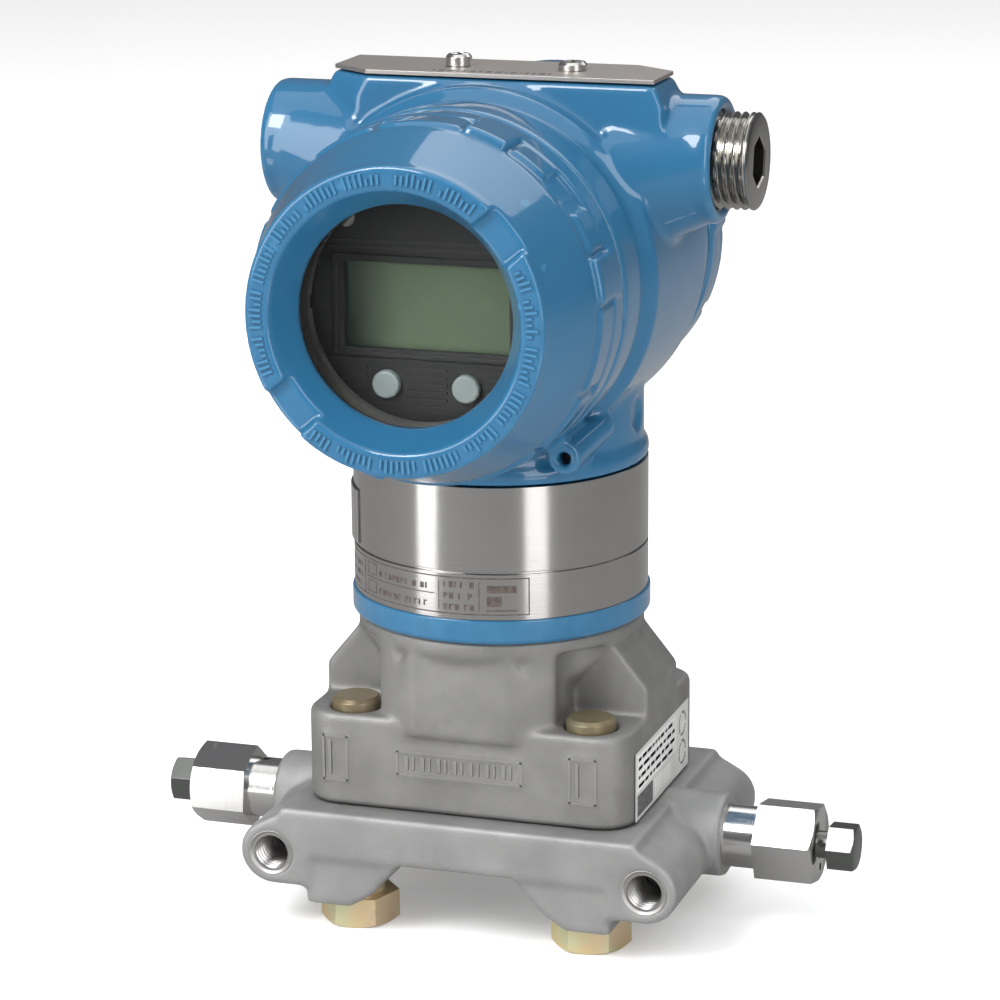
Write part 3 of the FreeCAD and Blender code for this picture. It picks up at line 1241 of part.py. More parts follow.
def make_conduit_plug():
    """Pipe plug with a hexagon socket in its face."""
    def at(x):
        return vector(x, 0, CONDUIT_Z)

    inner_x = CONDUIT_END - CONDUIT_THREAD_DEPTH + PLUG_END_GAP
    plug_r = CONDUIT_THREAD_R - THREAD_FIT
    face_x = CONDUIT_END + PLUG_PROUD
    bevel_x = face_x - PLUG_BEVEL
    pieces = [
        rod(plug_r, at(inner_x), at(bevel_x)),
        taper(plug_r, plug_r - PLUG_BEVEL, at(bevel_x), at(face_x)),
    ]
    socket_floor = at(face_x - PLUG_KEY_DEPTH)
    socket = hexagon_bar(PLUG_KEY_FLATS, socket_floor, at(face_x + OVERLAP), PLUG_KEY_TURN_DEG)
    return fuse_all(pieces).cut(socket)


# ================================================================ nameplate and adjust buttons
def make_nameplate():
    """Flat plate; it pivots on its left screw and opens off the right one by an arc slot."""
    outline = Part.Face(flat_wire(plate_outline(0.0, 0.0), PLATE_BOTTOM))
    plate = outline.extrude(vector(0, 0, PLATE_THICK))
    hole_r = M3_R + PLATE_HOLE_GAP
    low = PLATE_BOTTOM - OVERLAP
    high = PLATE_TOP + OVERLAP
    pivot = rod(hole_r, vector(LEFT_SCREW_X, 0, low), vector(LEFT_SCREW_X, 0, high))
    catch = rod(hole_r, vector(RIGHT_SCREW_X, 0, low), vector(RIGHT_SCREW_X, 0, high))
    reach = RIGHT_SCREW_X - LEFT_SCREW_X
    sweep = math.degrees(math.asin(PLATE_REAR / reach)) + PLATE_SLOT_EXTRA_DEG
    near = reach - hole_r
    far = reach + hole_r
    section = [(near, low), (far, low), (far, high), (near, high)]
    slot = turned_about_z(section, 0.0, sweep)
    slot.translate(vector(LEFT_SCREW_X, 0, 0))
    return plate.cut([pivot, catch, slot])


def make_adjust_button(x):
    """Round button that sits flush with the top block."""
    knee = vector(x, 0, BLOCK_TOP - BUTTON_EDGE)
    body = rod(ADJUST_R, vector(x, 0, BLOCK_TOP - ADJUST_LENGTH), knee)
    cap = taper(ADJUST_R, ADJUST_R - BUTTON_EDGE, knee, vector(x, 0, BLOCK_TOP))
    return fuse_all([body, cap])


# ================================================================ covers
def lugs(span_deg, proud, front_reach, back_reach):
    """Raised pads on each side of the lug axis, and again opposite.

    Both reaches count from the step where the cover's skirt meets its rim.
    """
    inner = COVER_SKIRT_R - LUG_ROOT
    radius = COVER_SKIRT_R + proud
    y_low = -COVER_STEP - front_reach
    y_high = back_reach - COVER_STEP
    profile = [(inner, y_low), (radius - LUG_EDGE, y_low), (radius, y_low + LUG_EDGE)]
    profile += [(radius, y_high), (inner, y_high)]
    near, far = span_deg
    pads = []
    for half_turn in (0.0, 180.0):
        centre = LUG_AXIS_DEG + half_turn
        pads.append(turned_about_y(profile, centre + near, far - near))
        pads.append(turned_about_y(profile, centre - far, far - near))
    return pads


def cover_lugs():
    """Pads that give a cover its grip: short and tall ones, then long strips."""
    pads = lugs(SHORT_LUG_DEG, LOW_LUG_PROUD, SHORT_LUG_FRONT, LOW_LUG_BACK)
    pads += lugs(TALL_LUG_DEG, TALL_LUG_PROUD, TALL_LUG_FRONT, TALL_LUG_BACK)
    pads += lugs(LONG_LUG_DEG, LOW_LUG_PROUD, LONG_LUG_FRONT, LOW_LUG_BACK)
    pads += lugs(LAST_LUG_DEG, LOW_LUG_PROUD, LONG_LUG_FRONT, LOW_LUG_BACK)
    return pads


def cover_spigot(shoulder, end):
    """Threaded spigot that enters the housing; signs follow its end."""
    outer = COVER_THREAD_R - RUNNING_FIT
    return [(outer, shoulder), (outer, end), (COVER_BORE_R, end)]


def key_slots():
    """Two slots across the front band, for a bar that turns the cover."""
    inner = BAND_INNER_R - KEY_SLOT_INWARD
    outer = BAND_OUTER_R + KEY_SLOT_OUTWARD
    half = KEY_SLOT_WIDTH / 2
    front = COVER_FRONT - OVERLAP
    floor = COVER_FRONT + BAND_HEIGHT
    slots = []
    for half_turn in (0.0, 180.0):
        slot = block(inner, outer, front, floor, BARREL_Z - half, BARREL_Z + half)
        slot.rotate(vector(0, 0, BARREL_Z), vector(0, 1, 0), half_turn - KEY_SLOT_DEG)
        slots.append(slot)
    return slots


def make_display_cover():
    """Screwed cover with a raised band, a dished front and a seat for the glass."""
    joint = -COVER_JOINT
    step = -COVER_STEP
    edge = COVER_RIM_EDGE
    band_foot = COVER_FRONT + BAND_HEIGHT
    band_knee = COVER_FRONT + BAND_EDGE
    seat_r = GLASS_R + THREAD_FIT
    profile = [(WINDOW_R, DISH_FLOOR), (BAND_INNER_R, band_knee), (BAND_INNER_R + BAND_EDGE, COVER_FRONT)]
    profile += [(BAND_OUTER_R - BAND_EDGE, COVER_FRONT), (BAND_OUTER_R, band_knee)]
    profile += [(BAND_OUTER_R + BAND_DRAFT, band_foot), (TAPER_BACK_R, TAPER_BACK), (COVER_SKIRT_R, step)]
    profile += [(COVER_RIM_R - edge, step), (COVER_RIM_R, step + edge), (COVER_RIM_R, joint)]
    profile += cover_spigot(joint, joint + COVER_SPIGOT_LENGTH)
    profile += [(COVER_BORE_R, TAPER_BACK), (seat_r, TAPER_BACK)]
    profile += [(seat_r, GLASS_FRONT), (WINDOW_R, GLASS_FRONT)]
    return fuse_all([turned_about_y(profile)] + cover_lugs()).cut(key_slots())


def make_cover_window():
    """Thick round glass with a bevelled front edge."""
    front = GLASS_FRONT + GASKET_THICK
    back = front + GLASS_THICK
    edge = GLASS_EDGE
    profile = [(0, front), (GLASS_R - edge, front), (GLASS_R, front + edge), (GLASS_R, back), (0, back)]
    return turned_about_y(profile)


def make_window_gasket():
    """Flat ring between the cover's lip and the glass."""
    inner = WINDOW_R + GASKET_SETBACK
    back = GLASS_FRONT + GASKET_THICK
    return turned_about_y([(inner, GLASS_FRONT), (GLASS_R, GLASS_FRONT), (GLASS_R, back), (inner, back)])


def make_window_retainer():
    """Screwed ring behind the glass, with two spanner notches."""
    front = RETAINER_FACE
    back = front + RETAINER_THICK
    bore = RETAINER_BORE_R
    body = turned_about_y([(bore, front), (GLASS_R, front), (GLASS_R, back), (bore, back)])
    past = GLASS_R + OVERLAP
    floor = back - RETAINER_NOTCH_DEPTH
    half = RETAINER_NOTCH_HALF_WIDTH
    return body.cut(block(-past, past, floor, back + OVERLAP, BARREL_Z - half, BARREL_Z + half))


def make_rear_cover():
    """Plain screwed cover of the terminal compartment, with the same grip pads."""
    joint = COVER_JOINT
    inner_end = REAR_COVER_END - REAR_COVER_WALL
    taper_start = REAR_COVER_END - REAR_TAPER_LENGTH
    flat_r = TAPER_BACK_R - REAR_TAPER_STEP
    profile = [(0, REAR_COVER_END), (flat_r, REAR_COVER_END), (TAPER_BACK_R, taper_start)]
    profile += [(COVER_SKIRT_R, COVER_STEP), (COVER_RIM_R, COVER_STEP), (COVER_RIM_R, joint)]
    profile += cover_spigot(joint, joint - COVER_SPIGOT_LENGTH)
    profile += [(COVER_BORE_R, inner_end), (0, inner_end)]
    reach = BODY_R + OVERLAP
    pad_end = joint + REAR_LUG_LENGTH
    kept = turned_about_y([(0, joint), (reach, joint), (reach, pad_end), (0, pad_end)])
    pads = []
    for shape in cover_lugs():
        pads.append(shape.mirror(vector(0, 0, 0), vector(0, 1, 0)).common(kept))
    return fuse_all([turned_about_y(profile)] + pads)


def make_cover_ring(face):
    """Seal behind the shoulder of a cover; face is -1 at the front and 1 at the back."""
    centre_y = face * (BARREL_HALF_LENGTH - SEAL_POCKET_DEPTH + COVER_RING_SECTION_R + SEAL_GAP)
    centre = vector(0, centre_y, BARREL_Z)
    return seal_ring(COVER_RING_R, COVER_RING_SECTION_R, centre, vector(0, 1, 0))


# ================================================================ display
def display_screw_places():
    """Two opposite screws near the rim of the display."""
    places = []
    for half_turn in (0.0, 180.0):
        angle = math.radians(DISPLAY_SCREW_DEG + half_turn)
        x = DISPLAY_SCREW_CIRCLE_R * math.cos(angle)
        z = BARREL_Z + DISPLAY_SCREW_CIRCLE_R * math.sin(angle)
        places.append((x, z))
    return places


def bezel_frame():
    """Thin raised frame round the display glass."""
    face = METER_FACE
    outer_x = LCD_HALF_WIDTH + BEZEL_OUTER_X
    inner_x = LCD_HALF_WIDTH + BEZEL_INNER_X
    outer = block(-outer_x, outer_x, face - BEZEL_LINE, face + SINK,
                  LCD_BOTTOM - BEZEL_OUTER_Z, LCD_TOP + BEZEL_OUTER_Z)
    inner = block(-inner_x, inner_x, face - OVERLAP, face + OVERLAP,
                  LCD_BOTTOM - BEZEL_INNER_Z, LCD_TOP + BEZEL_INNER_Z)
    return outer.cut(inner)


def display_posts():
    """Two posts that carry the display screws, kept inside the cup's rim."""
    radius = DISPLAY_SCREW_HEAD_R + DISPLAY_POST_WALL
    front = METER_BACK_WALL - SINK
    rim_r = METER_R - DISPLAY_POST_SETBACK
    inside = rod(rim_r, vector(0, METER_FACE, BARREL_Z), vector(0, PUCK_FACE, BARREL_Z))
    posts = []
    for x, z in display_screw_places():
        posts.append(rod(radius, vector(x, front, z), vector(x, DISPLAY_BOARD_Y, z)).common(inside))
    return posts


def make_display_housing():
    """Black moulded cup: face with window, rim that rests on the electronics."""
    face = METER_FACE
    before = face - OVERLAP
    inner_r = METER_R - METER_WALL
    profile = [(0, face), (METER_R - METER_EDGE, face), (METER_R, face + METER_EDGE), (METER_R, PUCK_FACE)]
    profile += [(inner_r, PUCK_FACE), (inner_r, METER_BACK_WALL), (0, METER_BACK_WALL)]
    body = fuse_all([turned_about_y(profile), bezel_frame()] + display_posts())
    behind = METER_BACK_WALL + OVERLAP
    holes = [block(-LCD_HALF_WIDTH, LCD_HALF_WIDTH, before, behind, LCD_BOTTOM, LCD_TOP)]
    for x in (-BUTTON_X, BUTTON_X):
        holes.append(rod(BUTTON_R + RUNNING_FIT, vector(x, before, BUTTON_Z), vector(x, behind, BUTTON_Z)))
    shank_r = DISPLAY_SCREW_R + FACE_GAP
    head_r = DISPLAY_SCREW_HEAD_R + FACE_GAP
    for x, z in display_screw_places():
        start = vector(x, before, z)
        holes.append(rod(shank_r, start, vector(x, DISPLAY_BOARD_Y + OVERLAP, z)))
        holes.append(rod(head_r, start, vector(x, face + DISPLAY_SCREW_HEAD, z)))
    return body.cut(holes)


def make_lcd_panel():
    """Display glass, seated behind the face of the cup."""
    half = LCD_HALF_WIDTH + LCD_BORDER
    front = METER_BACK_WALL
    return block(-half, half, front, front + LCD_THICK, LCD_BOTTOM - LCD_BORDER, LCD_TOP + LCD_BORDER)


def make_display_board():
    """Round board across the cup, with the header that plugs into the electronics."""
    radius = METER_R - METER_WALL - SCREW_CLEARANCE
    back = DISPLAY_BOARD_Y + BOARD_THICK
    board = rod(radius, vector(0, DISPLAY_BOARD_Y, BARREL_Z), vector(0, back, BARREL_Z))
    half_x = HEADER_HALF_WIDTH
    half_z = HEADER_HALF_HEIGHT
    header = block(-half_x, half_x, back, PUCK_FACE, BARREL_Z - half_z, BARREL_Z + half_z)
    holes = []
    for x, z in display_screw_places():
        front = vector(x, DISPLAY_BOARD_Y - OVERLAP, z)
        holes.append(rod(DISPLAY_SCREW_R + FACE_GAP, front, vector(x, PUCK_FACE, z)))
    return fuse_all([board, header]).cut(holes)


def make_display_screws():
    screws = []
    for x, z in display_screw_places():
        head_front = vector(x, METER_FACE + DISPLAY_SCREW_RECESS, z)
        head_back = vector(x, METER_FACE + DISPLAY_SCREW_HEAD, z)
        head = rod(DISPLAY_SCREW_HEAD_R, head_front, head_back)
        tip = vector(x, PUCK_FACE + DISPLAY_SCREW_BITE, z)
        shank = rod(DISPLAY_SCREW_R, vector(x, METER_FACE + SINK, z), tip)
        screws.append(fuse_all([head, shank]))
    return Part.makeCompound(screws)


def make_display_button(side):
    """Round key with a flange that keeps it behind the face of the cup."""
    def at(y):
        return vector(side * BUTTON_X, y, BUTTON_Z)

    flange_front = METER_BACK_WALL + BUTTON_FLANGE_GAP
    cap_front = METER_FACE - BUTTON_PROUD
    knee = cap_front + BUTTON_EDGE
    return fuse_all([
        taper(BUTTON_R - BUTTON_EDGE, BUTTON_R, at(cap_front), at(knee)),
        rod(BUTTON_R, at(knee), at(flange_front + BUTTON_FLANGE_THICK / 2)),
        rod(BUTTON_FLANGE_R, at(flange_front), at(flange_front + BUTTON_FLANGE_THICK)),
    ])


# ================================================================ electronics and terminals
def puck_screw_places():
    angle = math.radians(PUCK_SCREW_DEG)
    x = PUCK_SCREW_CIRCLE_R * math.cos(angle)
    rise = PUCK_SCREW_CIRCLE_R * math.sin(angle)
    return [(-x, BARREL_Z + rise), (x, BARREL_Z - rise)]


def make_electronics_puck():
    """Potted electronics stack on the front of the dividing wall."""
    body = turned_about_y([(0, PUCK_FACE), (PUCK_R, PUCK_FACE), (PUCK_R, WALL_FRONT), (0, WALL_FRONT)])
    before = PUCK_FACE - OVERLAP
    head_r = PUCK_SCREW_HEAD_R + SCREW_CLEARANCE
    holes = []
    for x, z in puck_screw_places():
        start = vector(x, before, z)
        holes.append(rod(PUCK_SCREW_R + SCREW_CLEARANCE, start, vector(x, WALL_FRONT + OVERLAP, z)))
        holes.append(rod(head_r, start, vector(x, PUCK_FACE + PUCK_SCREW_RECESS, z)))
    for x, z in display_screw_places():
        end = vector(x, PUCK_FACE + DISPLAY_SCREW_BITE + HOLE_END_GAP, z)
        holes.append(rod(DISPLAY_SCREW_R + THREAD_FIT, vector(x, before, z), end))
    return body.cut(holes)


def make_puck_screws():
    screws = []
    seat = PUCK_FACE + PUCK_SCREW_RECESS
    for x, z in puck_screw_places():
        head = rod(PUCK_SCREW_HEAD_R, vector(x, seat - PUCK_SCREW_HEAD, z), vector(x, seat, z))
        shank = rod(PUCK_SCREW_R, vector(x, seat - SINK, z), vector(x, WALL_FRONT + PUCK_SCREW_BITE, z))
        screws.append(fuse_all([head, shank]))
    return Part.makeCompound(screws)


def terminal_places():
    """Three terminals in a row across the middle of the block."""
    return [-TERMINAL_PITCH, 0.0, TERMINAL_PITCH]


def make_terminal_block():
    """Moulded block with barriers between its terminals; its lower edge is flat."""
    foot = BARREL_Z - TERMINAL_R + TERMINAL_FOOT_SETBACK
    top = BARREL_Z + TERMINAL_R - TERMINAL_TOP_SETBACK
    past_x = TERMINAL_R + OVERLAP
    behind = TERMINAL_FACE + OVERLAP
    base = rod(TERMINAL_R, vector(0, WALL_BACK, BARREL_Z), vector(0, TERMINAL_FACE, BARREL_Z))
    pieces = [base.common(block(-past_x, past_x, WALL_BACK - OVERLAP, behind, foot, top))]
    half_x = TERMINAL_RIB_WIDTH / 2
    half_z = TERMINAL_RIB_HALF_HEIGHT
    rib_end = TERMINAL_FACE + TERMINAL_RIB_THICK
    for index in range(4):
        x = (index - 1.5) * TERMINAL_PITCH
        rib = block(x - half_x, x + half_x, TERMINAL_FACE - SINK, rib_end, -half_z, half_z)
        pieces.append(rib.translated(vector(0, 0, BARREL_Z)))
    body = fuse_all(pieces)
    hole_end = TERMINAL_FACE - TERMINAL_SCREW_BITE - HOLE_END_GAP
    holes = []
    for x in terminal_places():
        mouth = vector(x, behind, BARREL_Z)
        holes.append(rod(TERMINAL_SCREW_R + THREAD_FIT, vector(x, hole_end, BARREL_Z), mouth))
    for x in (-TERMINAL_FIX_X, TERMINAL_FIX_X):
        start = vector(x, WALL_BACK - OVERLAP, BARREL_Z)
        holes.append(rod(TERMINAL_SCREW_R + SCREW_CLEARANCE, start, vector(x, behind, BARREL_Z)))
    return body.cut(holes)


def slotted_screw(x, z, head_seat, tip_y, head_r):
    """Screw that faces +Y, with a straight slot across its head."""
    head_top = head_seat + TERMINAL_HEAD_THICK
    past_x = head_r + OVERLAP
    floor = head_top - SCREW_SLOT_DEPTH
    half = SCREW_SLOT_HALF_WIDTH
    head = rod(head_r, vector(x, head_seat, z), vector(x, head_top, z))
    shank = rod(TERMINAL_SCREW_R, vector(x, tip_y, z), vector(x, head_seat + SINK, z))
    slot = block(x - past_x, x + past_x, floor, head_top + OVERLAP, z - half, z + half)
    return fuse_all([head, shank]).cut(slot)


def make_terminal_screws():
    tip = TERMINAL_FACE - TERMINAL_SCREW_BITE
    screws = [slotted_screw(x, BARREL_Z, TERMINAL_FACE, tip, TERMINAL_HEAD_R) for x in terminal_places()]
    return Part.makeCompound(screws)


def make_terminal_fixings():
    tip = WALL_BACK - TERMINAL_FIX_BITE
    screws = []
    for x in (-TERMINAL_FIX_X, TERMINAL_FIX_X):
        screws.append(slotted_screw(x, BARREL_Z, TERMINAL_FACE, tip, TERMINAL_FIX_HEAD_R))
    return Part.makeCompound(screws)


def make_ground_screw():
    tip = WALL_BACK - GROUND_SCREW_BITE
    return slotted_screw(0.0, GROUND_SCREW_Z, WALL_BACK, tip, GROUND_SCREW_HEAD_R)


# ================================================================ all nodes
def make_nodes():
    """Every separate piece of the instrument, by node name."""
    nodes = {
        "coplanar_flange": make_flange(),
        "module_base": make_module_base(),
        "side_label": make_side_label(),
        "module_collar": make_module_collar(),
        "sensor_module_can": make_module_can(),
        "module_tag": make_module_tag(),
        "sensor_cell": make_sensor_cell(),
        "module_board": make_module_board(),
        "module_connector": make_module_connector(),
        "housing_oring": make_housing_ring(),
        "electronics_housing": make_housing(),
        "rotation_set_screw": make_set_screw(),
        "nameplate": make_nameplate(),
        "nameplate_screw_left": make_nameplate_screw(
            LEFT_SCREW_X, LEFT_SCREW_HEAD_R, LEFT_SCREW_HEAD_HEIGHT),
        "nameplate_screw_right": make_nameplate_screw(
            RIGHT_SCREW_X, RIGHT_SCREW_HEAD_R, RIGHT_SCREW_HEAD_HEIGHT),
        "conduit_plug": make_conduit_plug(),
        "display_cover": make_display_cover(),
        "display_cover_oring": make_cover_ring(-1),
        "cover_window": make_cover_window(),
        "window_gasket": make_window_gasket(),
        "window_retainer": make_window_retainer(),
        "rear_cover": make_rear_cover(),
        "rear_cover_oring": make_cover_ring(1),
        "display_housing": make_display_housing(),
        "lcd_panel": make_lcd_panel(),
        "display_board": make_display_board(),
        "display_screws": make_display_screws(),
        "electronics_puck": make_electronics_puck(),
        "electronics_screws": make_puck_screws(),
        "terminal_block": make_terminal_block(),
        "terminal_screws": make_terminal_screws(),
        "terminal_block_screws": make_terminal_fixings(),
        "ground_screw": make_ground_screw(),
    }
    for name, side in SIDES:
        nodes["flange_bolt_front_" + name] = make_flange_bolt(side, -1)
        nodes["flange_bolt_rear_" + name] = make_flange_bolt(side, 1)
        nodes["valve_seat_" + name] = make_valve_seat(side)
        nodes["vent_ball_" + name] = make_vent_ball(side)
        nodes["vent_screw_" + name] = make_vent_screw(side)
        nodes["process_oring_" + name] = make_process_ring(side)
        nodes["isolating_diaphragm_" + name] = make_diaphragm(side)
        nodes["isolator_tube_" + name] = make_isolator_tube(side)
        nodes["display_button_" + name] = make_display_button(side)
    zero_x, span_x = adjust_places()
    nodes["adjust_button_zero"] = make_adjust_button(zero_x)
    nodes["adjust_button_span"] = make_adjust_button(span_x)
    return nodes


def main():
    os.makedirs("parts", exist_ok=True)
    for name, shape in make_nodes().items():
        shape.exportStep("parts/" + name + ".step")
        print(name, len(shape.Solids), "solid(s), valid", shape.isValid(), "volume %.1f" % shape.Volume)


main()
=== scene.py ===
import json
import logging
import math
import random
from collections.abc import Callable, Iterator
from contextlib import contextmanager
from dataclasses import dataclass
from enum import Enum

import bmesh
import bpy
import numpy as np
import openvdb
from mathutils import Matrix, Vector

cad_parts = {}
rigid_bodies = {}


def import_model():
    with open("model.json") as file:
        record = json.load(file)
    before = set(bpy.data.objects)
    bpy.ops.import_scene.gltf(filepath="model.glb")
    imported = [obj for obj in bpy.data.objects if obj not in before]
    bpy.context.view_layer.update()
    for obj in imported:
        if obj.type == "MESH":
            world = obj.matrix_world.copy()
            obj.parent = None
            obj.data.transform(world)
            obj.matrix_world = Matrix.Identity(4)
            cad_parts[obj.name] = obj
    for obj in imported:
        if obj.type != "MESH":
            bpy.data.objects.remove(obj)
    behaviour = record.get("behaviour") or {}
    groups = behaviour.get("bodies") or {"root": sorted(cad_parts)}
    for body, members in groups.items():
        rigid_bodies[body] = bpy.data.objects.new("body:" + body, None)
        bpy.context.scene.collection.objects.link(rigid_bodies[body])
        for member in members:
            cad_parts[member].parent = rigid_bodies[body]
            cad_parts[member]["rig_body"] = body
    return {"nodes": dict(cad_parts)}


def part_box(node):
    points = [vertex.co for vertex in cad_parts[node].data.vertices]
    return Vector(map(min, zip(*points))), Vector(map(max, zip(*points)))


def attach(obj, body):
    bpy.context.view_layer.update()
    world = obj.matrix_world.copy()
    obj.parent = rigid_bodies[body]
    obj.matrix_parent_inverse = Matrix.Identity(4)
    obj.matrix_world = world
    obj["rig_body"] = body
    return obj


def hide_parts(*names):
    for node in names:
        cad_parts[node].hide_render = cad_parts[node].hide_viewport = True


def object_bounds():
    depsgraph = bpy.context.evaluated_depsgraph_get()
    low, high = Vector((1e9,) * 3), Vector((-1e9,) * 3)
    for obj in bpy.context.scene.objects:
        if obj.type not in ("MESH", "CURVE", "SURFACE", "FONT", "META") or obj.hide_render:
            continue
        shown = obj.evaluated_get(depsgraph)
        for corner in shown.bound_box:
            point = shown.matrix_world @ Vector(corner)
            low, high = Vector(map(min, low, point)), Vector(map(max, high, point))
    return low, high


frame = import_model()
CAD_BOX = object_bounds()

# Lengths below are in millimetres; Blender's own are metres.
MM = 0.001
log = logging.getLogger("transmitter")
Colour = tuple[float, float, float]
Point = tuple[float, float, float]
Socket = bpy.types.NodeSocket
Value = Socket | float | tuple[float, ...]


class Axis(Enum):
    """One of the three directions of the frame."""

    X = 0
    Y = 1
    Z = 2


# ============================================================ reading the frame
def middle(node: str, axis: Axis) -> float:
    """Middle of a node's box along one axis, in millimetres."""
    low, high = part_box(node)
    return (low[axis.value] + high[axis.value]) / 2 / MM


def lowest(node: str, axis: Axis) -> float:
    """Lowest value of a node's box along one axis, in millimetres."""
    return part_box(node)[0][axis.value] / MM


def highest(node: str, axis: Axis) -> float:
    """Highest value of a node's box along one axis, in millimetres."""
    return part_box(node)[1][axis.value] / MM


def body_of(node: str) -> str:
    """Name of the body that a CAD node rides on."""
    return frame["nodes"][node]["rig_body"]


# ============================================================ writing shader nodes
class Graph:
    """Short way to write the nodes of one shader tree."""

    def __init__(self, tree: bpy.types.NodeTree) -> None:
        """Keep the tree that the nodes go into."""
        self.tree = tree

    def node(self, kind: str, **settings: object) -> bpy.types.Node:
        """Add a shader node and set its plain properties.

        Args:
            kind: type of the node, without its common start.
            settings: plain properties to set on it.

        Returns:
            The new node.
        """
        made = self.tree.nodes.new("ShaderNode" + kind)
        for key, value in settings.items():
            setattr(made, key, value)
        return made

    def feed(self, socket: Socket, value: Value) -> None:
        """Link an output to a socket, or set the socket's own value.

        Args:
            socket: the input.
            value: an output, or a number or colour.
        """
        if isinstance(value, bpy.types.NodeSocket):
            self.tree.links.new(value, socket)
        elif socket.type == "RGBA" and len(value) == 3:
            socket.default_value = (*value, 1.0)
        else:
            socket.default_value = value

    def math(self, operation: str, first: Value, second: Value = 0.0) -> Socket:
        """Add a Math node and return its output.

        Args:
            operation: name of the operation.
            first: its first value.
            second: its second value.

        Returns:
            The result.
        """
        made = self.node("Math", operation=operation)
        self.feed(made.inputs[0], first)
        self.feed(made.inputs[1], second)
        return made.outputs[0]

    def noise(self, vector: Socket, scale: Value, detail: float = 3.0, rough: float = 0.5) -> Socket:
        """Add a three-dimensional noise and return its grey value.

        Args:
            vector: where the noise is read.
            scale: how fine it is.
            detail: number of finer layers.
            rough: share of the finer layers.

        Returns:
            A grey value of 0 to 1.
        """
        made = self.node("TexNoise")
        self.feed(made.inputs["Vector"], vector)
        self.feed(made.inputs["Scale"], scale)
        made.inputs["Detail"].default_value = detail
        made.inputs["Roughness"].default_value = rough
        return made.outputs["Fac"]

    def span(self, value: Socket, low: float, high: float, out_low: float = 0.0,
             out_high: float = 1.0) -> Socket:
        """Map a value from one range to another, clamped.

        Args:
            value: what is mapped.
            low: start of its range.
            high: end of its range.
            out_low: result at the start.
            out_high: result at the end.

        Returns:
            The mapped value.
        """
        made = self.node("MapRange")
        self.feed(made.inputs["Value"], value)
        self.feed(made.inputs["From Min"], low)
        self.feed(made.inputs["From Max"], high)
        self.feed(made.inputs["To Min"], out_low)
        self.feed(made.inputs["To Max"], out_high)
        return made.outputs["Result"]

    def mix(self, share: Value, first: Value, second: Value) -> Socket:
        """Mix two colours and return the colour.

        Args:
            share: share of the second colour.
            first: first colour.
            second: second colour.

        Returns:
            The mixed colour.
        """
        made = self.node("Mix", data_type="RGBA")
        self.feed(made.inputs[0], share)
        self.feed(made.inputs[6], first)
        self.feed(made.inputs[7], second)
        return made.outputs[2]

    def bump(self, height: Socket, depth: float, under: Socket | None = None) -> Socket:
        """Turn a height of 0 to 1 into a normal; depth is in millimetres.

        Args:
            height: grey height.
            depth: depth of the relief, in millimetres.
            under: normal that it adds to.

        Returns:
            The new normal.
        """
        made = self.node("Bump")
        made.inputs["Distance"].default_value = depth * MM
        self.feed(made.inputs["Height"], height)
        if under is not None:
            self.feed(made.inputs["Normal"], under)
        return made.outputs["Normal"]

    def place(self) -> Socket:
        """Position on the piece, which moves with it."""
        return self.node("TexCoord").outputs["Object"]

    def along(self, axis: Axis) -> Socket:
        """One coordinate of the position on the piece.

        Args:
            axis: one of the three directions.

        Returns:
            The coordinate, in metres.
        """
        parts = self.node("SeparateXYZ")
        self.feed(parts.inputs[0], self.place())
        return parts.outputs[axis.value]

    def stretched(self, scale: Point) -> Socket:
        """Position with each axis scaled by its own factor.

        Args:
            scale: factor along each axis.

        Returns:
            The scaled position.
        """
        made = self.node("Mapping")
        self.feed(made.inputs["Vector"], self.place())
        made.inputs["Scale"].default_value = scale
        return made.outputs["Vector"]

    def group(self, tree: bpy.types.NodeTree, **values: Value) -> bpy.types.Node:
        """Place a shared group and feed its named inputs.

        Args:
            tree: the group.
            values: values or outputs, by the name of the input.

        Returns:
            The new group node.
        """
        made = self.node("Group", node_tree=tree)
        for name, value in values.items():
            self.feed(made.inputs[name], value)
        return made


# ============================================================ shared effects
def new_group(name: str, inputs: dict[str, float], outputs: list[str],
              write: Callable[[Graph, bpy.types.Node], dict[str, Socket]]) -> bpy.types.NodeTree:
    """Make a shader node group once.

    Args:
        name: name of the group.
        inputs: value inputs with their defaults.
        outputs: names of its value outputs.
        write: function that writes the nodes and gives a socket for each output.

    Returns:
        The group's node tree.
    """
    tree = bpy.data.node_groups.new(name, "ShaderNodeTree")
    for key, value in inputs.items():
        made = tree.interface.new_socket(name=key, in_out="INPUT", socket_type="NodeSocketFloat")
        made.default_value = value
    for key in outputs:
        tree.interface.new_socket(name=key, in_out="OUTPUT", socket_type="NodeSocketFloat")
    graph = Graph(tree)
    source = tree.nodes.new("NodeGroupInput")
    sink = tree.nodes.new("NodeGroupOutput")
    for key, socket in write(graph, source).items():
        tree.links.new(socket, sink.inputs[key])
    return tree


def write_blast(graph: Graph, source: bpy.types.Node) -> dict[str, Socket]:
    """Bead-blasted skin: fine round dents, with a slow change of tone.

    Args:
        graph: the tree that the nodes go into.
        source: the group's input node.

    Returns:
        Height and tone of the skin.
    """
    place = graph.place()
    fine = graph.noise(place, source.outputs["Scale"], 2.0, 0.6)
    slow = graph.noise(place, graph.math("MULTIPLY", source.outputs["Scale"], 0.03), 3.0, 0.5)
    return {"Height": graph.span(fine, 0.3, 0.7), "Tone": graph.span(slow, 0.3, 0.7)}


